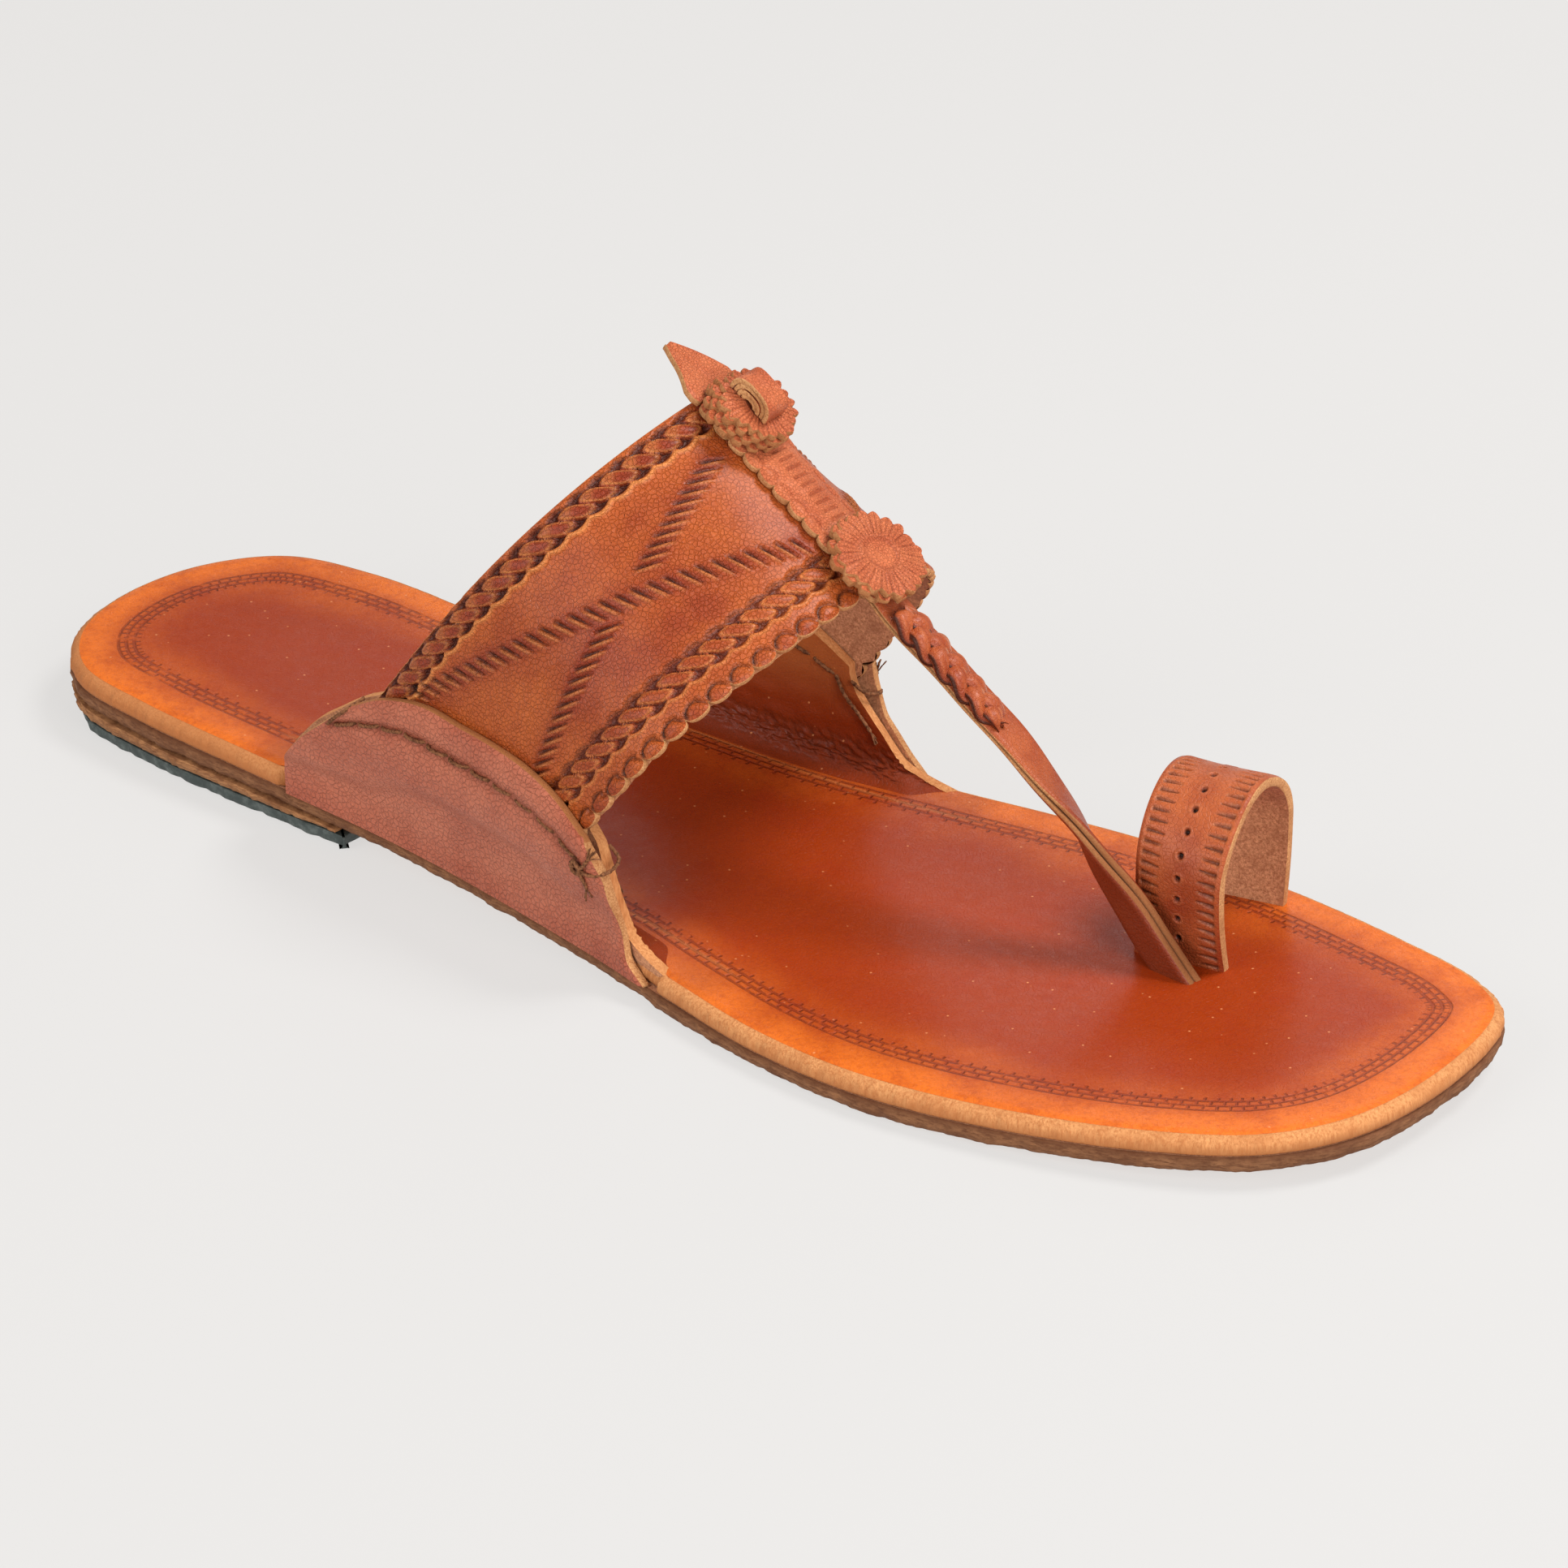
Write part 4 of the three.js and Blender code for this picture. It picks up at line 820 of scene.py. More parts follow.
def near_edge(x, y):
    """The nearest place along the sole's edge, and the distance inside it."""
    spots = np.stack([np.ravel(x), np.ravel(y)], axis=1)
    nearest = np.concatenate([
        np.argmin(np.sum((part[:, None] - RIM[None]) ** 2, axis=2), axis=1)
        for part in np.array_split(spots, len(spots) // 2000 + 1)
    ])
    inside = -np.sum((spots - RIM[nearest]) * RIM_OUT[nearest], axis=1)
    run = np.stack([-RIM_OUT[nearest, 1], RIM_OUT[nearest, 0]], axis=1)
    slide = np.sum((spots - RIM[nearest]) * run, axis=1)
    along = RIM_PLACE[nearest] + slide * OUTLINE_TURN
    return along.reshape(np.shape(x)), inside.reshape(np.shape(x))


def ring(loop, out, inset, height):
    """One level of a sole layer."""
    moved = loop - out * np.asarray(inset)[..., None]
    level = height(moved[:, 0]) if callable(height) else np.full(len(loop), height)
    return np.column_stack([moved, level])


def between(top, low, share):
    """The height at a share of the way from one surface down to another."""
    return lambda x: mix(top(x), low(x), share)


def level_at(height):
    return lambda x: np.full(np.shape(x), height)


def floor_cap(shape, last, height, slot, flip, count=HIDDEN_RINGS):
    """Closes a layer with rings that shrink to its middle."""
    middle = last[:, :2].mean(axis=0)
    rings = []
    for share in np.linspace(0, 0.98, count):
        flat = mix(last[:, :2], middle, share)
        rings.append(np.column_stack([flat, height(flat[:, 0])]))
    shape.grid(np.array(rings).transpose(1, 0, 2), slot, closed=True, flip=flip)


def ear_seat(x):
    """How far the sole's layers draw in beside the ears."""
    inside = np.minimum(x - (EAR_REAR_X - SEAT_MARGIN), EAR_FRONT_X + SEAT_MARGIN - x)
    return (WALL_TUCK + GAP) * np.clip(inside / SEAT_MARGIN + 1, 0, 1)


def insole_slab(shape):
    """The insole's top, its bevelled edge and its underside."""
    seat = ear_seat(RIM[:, 0])
    fray = 0.12 * ripple(RIM_PLACE, 1.2, 9, 3)
    levels = [
        (seat + INSOLE_BEVEL + 0.35, lambda x: insole_top(x) - 0.3),
        (seat + INSOLE_BEVEL, lambda x: insole_top(x) - 0.34),
        (seat + INSOLE_BEVEL * 0.62 + 0.4 * fray, lambda x: insole_top(x) - INSOLE_BEVEL * 0.5),
        (seat + INSOLE_BEVEL * 0.18 + fray, lambda x: insole_top(x) - INSOLE_BEVEL * 0.95),
        (seat + 0.05 + fray, lambda x: insole_top(x) - INSOLE_BEVEL * 1.4),
        (seat + fray, lambda x: insole_under(x) + 0.7),
        (seat + 0.35, insole_under),
    ]
    rings = np.array([ring(RIM, RIM_OUT, inset, height) for inset, height in levels]).transpose(1, 0, 2)
    # Painted shade on the edge: darker towards its foot, where it meets the outsole, and towards the heel.
    heel = 0.65 * smooth((-55 - RIM[:, :1]) / 40)
    burnish_and_shade = np.clip(np.array([0.1, 0, 0, 0.1, 0.35, 0.6, 0.9]) + heel, 0, 1)
    shape.grid(rings, 1, closed=True, shade=burnish_and_shade)
    top_of_slab(shape)
    floor_cap(shape, rings[:, -1], insole_under, 1, True)


def top_of_slab(shape):
    turns = np.linspace(SLAB_START, math.pi - SLAB_START, SLAB_ROWS)
    x = -LENGTH / 2 * np.cos(turns)
    inner = ring(RIM, RIM_OUT, ear_seat(RIM[:, 0]) + INSOLE_BEVEL + 0.3, insole_top)[:, :2]
    tips = inner[:, 0].argmin(), inner[:, 0].argmax()
    x = np.clip(x, inner[tips[0], 0] + 0.02, inner[tips[1], 0] - 0.02)
    middle = np.interp(inner[:, 0], inner[list(tips), 0], inner[list(tips), 1])
    sides = []
    for sign in (1, -1):
        line = inner[inner[:, 1] * sign >= middle * sign]
        line = line[np.argsort(line[:, 0])]
        sides.append(np.interp(x, line[:, 0], line[:, 1]))
    share = 0.5 - 0.5 * np.cos(np.linspace(0, math.pi, SLAB_COLUMNS))
    y = mix(sides[0][:, None], sides[1][:, None], share[None])
    x = np.broadcast_to(x[:, None], y.shape)
    along, inside = near_edge(x, y)
    z = insole_top(x) - 0.3 * bell(inside - INSOLE_BEVEL, 1.2)
    z = z + 0.14 * blotch(x, y, 45, 5) * smooth((inside - 3) / 8)
    points = np.stack([x, y, z], axis=-1)
    shape.grid(points, 0, flip=True, along=along, inside=inside, **insole_marks(x, inside))


def insole_marks(x, inside):
    """A scribed line, and a strip of painted shade on the insole at the foot of the ears."""
    between = smooth((x - EAR_REAR_X + 12) / 6) * smooth((EAR_FRONT_X + 16 - x) / 6)
    scribe = 0.3 * between * bell(inside - 9.5 - 0.8 * np.sin(x / 15), 0.4)
    return {"light": scribe, "shade": 0.35 * between * bell(inside - 5, 5)}


def inner_ear(shape, side):
    """The ear cut in one with the insole, with its bend into the insole and its wrinkles."""
    ups = np.concatenate([np.linspace(0, 0.16, 34), np.linspace(0.17, 1, 52)])
    shares = np.linspace(0, 1, 170)
    up, share = np.meshgrid(ups, shares, indexing="ij")
    foot = np.maximum(1 - up / EAR_FRONT_FILLET_SHARE, 0) ** 2
    x = mix(ear_rear(up), ear_front(up, side) + mix(-INNER_EAR_SET_BACK, EAR_FRONT_FILLET, foot), share)
    base = insole_top(x) - INSOLE_BEVEL
    z = mix(base, ear_top(share, side), up)
    tuck = -GAP * (1 + np.maximum(1 - up / 0.06, 0))
    rise = z - insole_top(x) + 0.1
    bend = 5.2
    fillet = bend - np.sqrt(np.maximum(bend ** 2 - np.clip(bend - rise, 0, bend) ** 2, 0))
    low = bell(rise - 3.2, 2.2) * smooth((rise + 0.2) / 0.6)
    crumple = 0.35 * np.sin(x / 4.6) + 0.3 * np.sin(x / 1.7) + 0.35 * blotch(x, z * 4, 3, 12)
    waves = 0.3 * low * np.sin(2 * math.pi * (z / 1.5 + crumple)) * (0.3 + 0.7 * smooth((share - 0.35) / 0.3))
    folds = 0.08 * bell(rise - 8, 7) * blotch(x, z * 3, 9, 11)
    fillet = fillet * smooth((1 - share) * 14)
    thick = INNER_EAR_WALL + fillet - waves - folds
    outer = off_wall(x, z, side, tuck)
    inner = off_wall(x, z, side, tuck - thick)
    # Painted shade in the bend into the insole and in the troughs of the wrinkles; the face grows lighter
    # towards its top.
    shade = np.clip(0.35 + 0.45 * bell(rise - 2.5, 4) + 0.5 * np.maximum(waves, 0) / 0.2, 0, 0.95)
    light = 0.32 * smooth((rise - 6) / 15)
    inside = 13 + 0.6 * (ear_top(share, side) - z)
    shape.sheet(
        inner, outer, slots=(0, 2, 1), bulge=0.15, thin=4, flip=side > 0,
        inside=inside, along=x, shade=shade, light=light,
    )


def make_insole():
    shape = Shape()
    insole_slab(shape)
    for side in (1, -1):
        inner_ear(shape, side)
    materials = [INSOLE_LEATHER, INSOLE_EDGE, FLESH]
    make_piece("insole_and_inner_ears", shape, materials, ["insole"])


def make_outsole():
    """Rough leather with an uneven trimmed edge."""
    shape = Shape()
    rings = []
    shares = np.array([0, 0.08, 0.35, 0.6, 0.85, 1])
    insets = np.array([0.5, 0.05, 0, 0.15, 0.55, OUTSOLE_BEVEL + 0.2])
    for k, (share, inset) in enumerate(zip(shares, insets)):
        rough = 0.12 * ripple(RIM_PLACE + 9 * k, 1.8, 14, 20 + k) + 0.16 * ripple(RIM_PLACE, 8, 60, 19)
        level = between(outsole_top, outsole_under, share)
        rings.append(ring(RIM, RIM_OUT, inset + rough * (share > 0), level))
    rings = np.array(rings).transpose(1, 0, 2)
    # Painted shade on the edge: darkest at its top in the gap under the insole, lightest where it stands out,
    # darker again towards the floor.
    wear_and_shade = np.array([0.9, 0.5, 0, 0.1, 0.3, 0.5]) * np.ones((RIM_POINTS, 1))
    shape.grid(rings, 0, closed=True, shade=wear_and_shade)
    floor_cap(shape, rings[:, -1], outsole_under, 1, True, SEEN_RINGS)
    floor_cap(shape, rings[:, 0], outsole_top, 1, False)
    make_piece("outsole_leather", shape, [OUTSOLE_EDGE, FLESH], ["outsole"])


def heel_loop(front):
    """The sole's outline behind the heel's front, closed straight across."""
    keep = EDGE[EDGE[:, 0] < front]
    start = int(np.argmax(np.linalg.norm(np.roll(keep, -1, axis=0) - keep, axis=1)))
    keep = np.roll(keep, -start - 1, axis=0)
    across = np.linspace(keep[-1], keep[0], 60)[1:-1]
    across[:, 0] = front
    return even_loop(np.vstack([keep, across]), HEEL_POINTS)


def heel_layer(name, front, levels, material, node):
    """One layer of the heel. levels gives the inset and the height of each level, from the top down."""
    shape = Shape()
    loop = heel_loop(front)
    out = outward(loop)
    rows = levels(loop)
    rings = np.array([ring(loop, out, inset, height) for inset, height in rows]).transpose(1, 0, 2)
    shape.grid(rings, 0, closed=True)
    floor_cap(shape, rings[:, -1], rows[-1][1], 0, True, SEEN_RINGS)
    floor_cap(shape, rings[:, 0], rows[0][1], 0, False)
    make_piece(name, shape, [material], [node])


def lift_levels(loop):
    rough = 0.2 * ripple(np.arange(len(loop)) * HEEL_STEP, 1.5, 20, 31)
    top = lambda x: outsole_under(x) - GAP
    low = level_at(RUBBER_THICK + GAP)
    steps = ((0, 0.15), (0.3, 0.5), (0.7, 0.85))
    sides = [(inset + rough, between(top, low, share)) for inset, share in steps]
    return [(0.3, top), *sides, (1.1, low)]


def rubber_levels(loop):
    rough = 0.22 * ripple(np.arange(len(loop)) * HEEL_STEP, 3, 24, 41)
    under = lambda x: HEEL_TIP_LIFT * smooth((HEEL_X + HEEL_TIP_LENGTH - x) / HEEL_TIP_LENGTH)
    top = level_at(RUBBER_THICK)
    sides = [(inset + rough, between(top, under, share)) for inset, share in ((0.9, 0.1), (1.3, 0.8))]
    return [(1.0, top), *sides, (HEEL_INSET + rough, under)]


def make_heel():
    front = HEEL_X + HEEL_LENGTH
    heel_layer("heel_lift", front - HEEL_BREAST_SLANT, lift_levels, LIFT_EDGE, "heel_stack")
    heel_layer("heel_rubber_top", front, rubber_levels, RUBBER, "heel_cap")


# The instep band

# Rows of slits. from and to: each row's ends, as distances from the band's rear edge and from the ridge.
# lean: direction of each slit, in degrees from straight ahead towards the ridge.
SLIT_ROWS = [
    {"from": (5.8, 75.5), "to": (31.2, 7.0), "count": 28, "lean": 19, "length": 4.3},
    {"from": (10.4, 8.5), "to": (18.4, 28.5), "count": 11, "lean": 66, "length": 4.4},
    {"from": (22.4, 40.0), "to": (31.8, 67.5), "count": 13, "lean": 66, "length": 4.2},
]
SLIT_WIDTH = 0.5
SLIT_STRETCH = 1.15
MEDIAL_STRETCH = float(np.mean(np.abs(FEET[:, 0])) / np.mean(np.abs(FEET[:, 1])))
TOOTH_PITCH = 4.5
REAR_ROPE_IN = 3.3
FRONT_ROPE_IN = 7.6

# The leaves of both rope borders, in millimetres and degrees
REAR_LEAVES = {"pitch": 4.4, "length": 6.6, "width": 2.7, "tilt": 41}
FRONT_LEAVES = {"pitch": 4.25, "length": 6.4, "width": 2.5, "tilt": 41}

# How both ropes are pressed and coloured. raised, sunk, cut: relief of leaves, ground and outlines. stain,
# fade, lit_end: how dark the ground is, how much lighter the leaves are, and how far that lightening keeps to
# one end of each leaf, as a painted highlight. outline, shaded_end: black outlines, and painted shade on the
# other end of each leaf. edge, gleam: light lines along the leaves' outlines, and painted highlights on the
# leaves. rim and line: the lip and the groove beside the rope.
REAR_PRESS = {
    "raised": 0.42, "sunk": 0.5, "cut": 0.35, "stain": 1, "fade": 0.35, "lit_end": 1, "outline": 0.75,
    "shaded_end": 0.45, "edge": 0.45, "gleam": 0.2, "rim_at": 0.45, "rim_wide": 0.4, "rim_high": 0.4,
    "rim_light": 0.6, "line_at": 0.1, "line_wide": 0.22, "line_deep": 0.35, "halo_at": 7.5, "halo_wide": 3.5,
}
FRONT_PRESS = {
    "raised": 0.34, "sunk": 0.35, "cut": 0.3, "stain": 0.6, "fade": 0.3, "lit_end": 0, "outline": 0.6,
    "shaded_end": 0, "edge": 0.4, "gleam": 0, "rim_at": 0.35, "rim_wide": 0.32, "rim_high": 0.2,
    "rim_light": 0.35, "line_at": 0.2, "line_wide": 0.26, "line_deep": 0.4, "halo_at": -6.5, "halo_wide": 4,
}


def rope(along, across, pitch, length, width, tilt):
    """A row of twisted leaves: each place's rise, its place along its leaf (-1 to 1), and the outlines."""
    rise = np.zeros_like(along)
    second = np.zeros_like(along)
    end = np.zeros_like(along)
    nearest = np.round(along / pitch)
    lean = math.radians(tilt)
    for step in (-1, 0, 1):
        gone = along - (nearest + step) * pitch
        u = (gone * math.cos(lean) - across * math.sin(lean)) / (length / 2)
        v = (gone * math.sin(lean) + across * math.cos(lean)) / (width / 2)
        v = v - 0.75 * u * np.abs(u)
        here = np.clip(1 - np.abs(u) ** 2.2 - v ** 2, 0, 1) ** 0.28
        end = np.where(here > rise, u, end)
        second = np.maximum(second, np.minimum(rise, here))
        rise = np.maximum(rise, here)
    return rise, end, bell(rise - second, 0.3)


def rope_scallops(down, across, pitch):
    """Distances past the scalloped borders of a rope, towards across and away from it."""
    inner = 1.85 + 0.75 * np.abs(np.cos(math.pi * (down + 3.1) / pitch))
    outer = 1.85 + 0.75 * np.abs(np.cos(math.pi * (down - 3.1) / pitch))
    return across - inner, -across - outer


def press_rope(layers, down, across, leaves, press):
    """Presses one rope border into the band's layers: height, dark, light and shade."""
    height, dark, light, shade = layers
    rise, end, outline = rope(down, across, **leaves)
    past, short = rope_scallops(down, across, leaves["pitch"])
    strip = smooth(-past / 0.35) * smooth(-short / 0.35)
    rim = bell(past - press["rim_at"], press["rim_wide"])
    line = bell(short - press["line_at"], press["line_wide"])
    height += press["raised"] * rise - strip * (press["sunk"] * (1 - rise) + press["cut"] * outline)
    height += press["rim_high"] * rim - press["line_deep"] * line
    # The leaves are lighter than the stained ground; on the rear rope this lightening keeps to one end of
    # each leaf as a painted highlight, and the other end gets painted shade, while gleam adds painted
    # highlights on the leaves.
    shade += strip * (press["stain"] - press["fade"] * rise * mix(1, smooth(0.6 + end), press["lit_end"]))
    shade += 0.3 * bell(across - press["halo_at"], press["halo_wide"])
    dark += strip * (press["outline"] * outline + press["shaded_end"] * smooth(-0.1 - end) * rise) + 0.6 * line
    bright = press["edge"] * bell(rise - 0.74, 0.09) + press["gleam"] * rise * bell(end - 0.45, 0.2)
    light += strip * bright * (1 - outline) + press["rim_light"] * rim


def band_relief(ahead, behind, out, phase):
    """Relief and painted values of the band. ahead, behind: distances from its rear and front edges."""
    down = np.abs(out)
    layers = np.zeros((4, *out.shape))
    rear_across = ahead - REAR_ROPE_IN + 0.9 * smooth((down - 35) / 40)
    press_rope(layers, down, rear_across, REAR_LEAVES, REAR_PRESS)
    press_rope(layers, down, FRONT_ROPE_IN - behind, FRONT_LEAVES, FRONT_PRESS)
    height, dark, light, shade = layers
    for row in SLIT_ROWS:
        slit_row(row, ahead, out, height, dark, light, shade)

    # Beads along the toothed edge, each with a stamped dark crescent. The crescents are darker on one side of
    # each bead, and each bead is darkened on that side too: painted shade.
    aside = (phase - 0.5) * TOOTH_PITCH * np.where(out > 0, -1, 1)
    from_bead = np.hypot((behind - 0.6) * 0.9, aside)
    hood = bell(from_bead - 1.95, 0.28) * smooth((behind - 0.6) / 0.9)
    bead = smooth((1.9 - from_bead) / 1.1)
    height += 0.1 * bead - 0.7 * hood
    dark += 0.95 * hood * (0.45 + 0.55 * smooth(0.5 - aside / 2))
    shade += 0.5 * bead * smooth(0.6 - aside / 3)
    return height, np.clip(dark, 0, 1), np.clip(light, 0, 1), shade


def slit_row(row, ahead, out, height, dark, light, shade):
    """Presses one row of slits into the band's fields, on both halves."""
    lean = math.radians(row["lean"])
    down = np.abs(out) * np.where(out > 0, MEDIAL_STRETCH, 1)
    for place in np.linspace(0, 1, row["count"]):
        centre = mix(np.array(row["from"]), np.array(row["to"]), place)
        x = ahead - centre[0]
        y = -(down - centre[1])
        near = (np.abs(x) < 5) & (np.abs(y) < 5)
        u = (x[near] * math.cos(lean) + y[near] * math.sin(lean)) / (row["length"] * SLIT_STRETCH / 2)
        v = -x[near] * math.sin(lean) + y[near] * math.cos(lean)
        body = np.clip(1 - u ** 2, 0, 1)
        head = smooth((0.55 - u) / 1.2)
        cut = bell(v, SLIT_WIDTH / 2 * (0.75 + 0.6 * head)) * body ** 0.5
        lip = bell(v + SLIT_WIDTH * 1.1, 0.32) * body
        puff = bell(v, 1.4) * np.clip(1.4 - np.abs(u), 0, 1)
        height[near] += -0.7 * cut + 0.26 * lip + 0.14 * puff
        dark[near] += cut * (0.6 + 0.4 * head)
        light[near] += 0.4 * lip
        shade[near] += 0.45 * puff


def make_upper():
    shape = Shape()
    shares = np.linspace(-1, 1, BAND_TEETH * 17 + 1)
    crossing = np.linspace(0, 1, 146)
    share, across = np.meshgrid(shares, crossing, indexing="ij")
    up = 1 - np.abs(share)
    phase = (share + 1) / 2 * BAND_TEETH % 1
    lobe = scallop(phase)
    rear = -BAND_REAR_SWEEP * (1 - up)
    front = BAND_LENGTH - BAND_FRONT_SWEEP * (1 - up)
    drawn = TOOTH_DEPTH * (1 - lobe) * smooth((across - 0.93) / 0.07)
    along = mix(rear, front, across) - drawn
    foot = np.where(share < 0, band_foot_out(along, -1), band_foot_out(along, 1))
    out = np.abs(share) * foot
    ahead, behind = along - rear, front - along
    height, dark, light, shade = band_relief(ahead, behind, out, phase)
    covered = smooth((np.abs(out - 0.9) - 5) / 1.5)
    height, dark = height * covered, dark * covered
    shade = shade + 0.3 * bell(ahead - 24, 10) * bell(np.abs(out) - 36, 20) - 0.15 * bell(np.abs(out) - 10, 8)
    edge_drop = 0.35 * (bell(ahead, 0.5) + bell(behind - drawn, 0.5))
    turn = turn_at(along, out)
    face = off_last(along, turn, BAND_WALL + height - edge_drop)
    back = off_last(along, turn, 0 * along)
    shade = np.clip(shade, 0, 1)
    shape.sheet(face, back, bulge=0.18, thin=8, dark=dark, light=light, shade=shade)
    make_piece("instep_band", shape, [BAND_LEATHER, FLESH, CUT_EDGE], ["upper"])


# The thong and its braid

THONG_WIDTH = 7
THONG_THICK = 1.8
THONG_FOOT_THICK = 3.2
THONG_TWIST = math.radians(80)
THONG_TUCK = 5
THONG_TUCK_WIDTH = 5
THONG_BED = -0.2
THONG_BOW = 3.4
THONG_BOW_SHARE = 0.45
THONG_FOOT_FROM_HEEL = 227.8
THONG_FOOT_ACROSS = 10
BRAID_TOP_RADIUS = 3
BRAID_END_RADIUS = 2.4
BRAID_LENGTH = 24
PLAIT_LENGTH = 13.2
PLAIT_STRANDS = 3
BRAID_SEAT = 0.26
BRAID_SHIFT = 1.25
FRONT_ROSETTE_ALONG = 40
FRONT_ROSETTE_RADIUS = 8.8
SLOT_DEPTH = 2.8
BRAID_ALONG = FRONT_ROSETTE_ALONG + FRONT_ROSETTE_RADIUS + 2 * GAP


def thong_line():
    top = ridge_point(BAND_LENGTH - THONG_TUCK, THONG_BED)
    bend = ridge_point(BRAID_ALONG, THONG_BED)
    foot_x = HEEL_X + THONG_FOOT_FROM_HEEL
    foot = np.array([foot_x, THONG_FOOT_ACROSS, float(insole_top(foot_x))])
    chord = unit(foot - bend)
    middle = mix(bend, foot, THONG_BOW_SHARE) + THONG_BOW * np.array([-chord[2], 0, chord[0]])
    line = catmull([top, bend, middle, foot], 900)
    return line, distances(line), float(np.linalg.norm(bend - top))


THONG_LINE, THONG_PLACES, BRAID_START = thong_line()
THONG_LENGTH = THONG_PLACES[-1]
BRAID_END = BRAID_START + BRAID_LENGTH


def turned(vector, axis, angle):
    """A vector turned about an axis."""
    return (
        vector * math.cos(angle)
        + np.cross(axis, vector) * math.sin(angle)
        + axis * float(axis @ vector) * (1 - math.cos(angle))
    )


def thong_frame(place):
    behind, centre, ahead = along_line([place - 0.4, place, place + 0.4], THONG_PLACES, THONG_LINE)
    run = unit(ahead - behind)
    share = float(smooth((place - BRAID_END) / (THONG_LENGTH - THONG_WIDTH - BRAID_END)))
    level = unit(np.array([0, -1, 0]) + run * run[1])
    width = turned(level, run, -THONG_TWIST * share)
    broad = mix(THONG_TUCK_WIDTH, THONG_WIDTH, float(smooth(place / BRAID_START)))
    return centre, run, width, unit(np.cross(width, run)), share, broad


def strap_section(half, thick):
    """Half-round corners and a seam along both narrow sides, where the strap's two layers meet."""
    round_off = min(0.35, thick / 5)
    top = thick / 2
    flat = [(w, top) for w in np.linspace(half - round_off, -half + round_off, 9)]
    side = [(-half, top - round_off), (-half - 0.05, top * 0.5), (-half, 0.22), (-half + 0.55, 0)]
    down = [(w, -t) for w, t in reversed(side[:-1])]
    left = side + down
    under = [(-w, -t) for w, t in flat]
    right = [(-w, -t) for w, t in left]
    points = np.array(flat + left + under + right)
    raw = np.array([0] * 9 + [1] * 7 + [0] * 9 + [1] * 7)
    seam = np.array([0] * 9 + [0, 0, 0, 1, 0, 0, 0] + [0] * 9 + [0, 0, 0, 1, 0, 0, 0])
    return points, raw, seam


def make_thong():
    shape = Shape()
    end = THONG_LENGTH - THONG_WIDTH
    places = np.concatenate([np.linspace(0, end, 150), [end]])
    rings, seams, raws = [], [], []
    for k, place in enumerate(places):
        centre, run, width, face, share, broad = thong_frame(min(place, end))
        section, raw, seam = strap_section(broad / 2, mix(THONG_THICK, THONG_FOOT_THICK, share))
        points = centre + section[:, :1] * width + section[:, 1:] * face
        points = points + face * 0.12 * math.sin(place / 2.7)
        if k == len(places) - 1:
            level = float(insole_top(points[0, 0])) - SLOT_DEPTH
            points = points + run * ((level - points[:, 2:]) / run[2])
        rings.append(points)
        raws.append(raw)
        seams.append(seam)
    seams = np.array(seams)
    sides = raws[0] * np.roll(raws[0], -1)
    # Painted shade: the strap, its face and its cut edges, darkens towards its foot; the seams are dark
    # joints.
    lower = smooth((np.linspace(0, 1, len(rings)) - 0.5) / 0.35)[:, None]
    shade = (1 - np.array(raws)) * (0.25 + 0.7 * lower) + np.array(raws) * (0.15 + 0.7 * lower)
    dark = np.clip(seams * 0.9 + 0.3 * lower, 0, 1)
    shape.tube(rings, 0, flip=True, row_slots=sides, dark=dark, shade=shade)
    for strand in range(PLAIT_STRANDS):
        braid_strand(shape, strand * 2 * math.pi / PLAIT_STRANDS)
    make_piece("thong_and_braid", shape, [LOOP_LEATHER, CUT_EDGE], ["upper"])


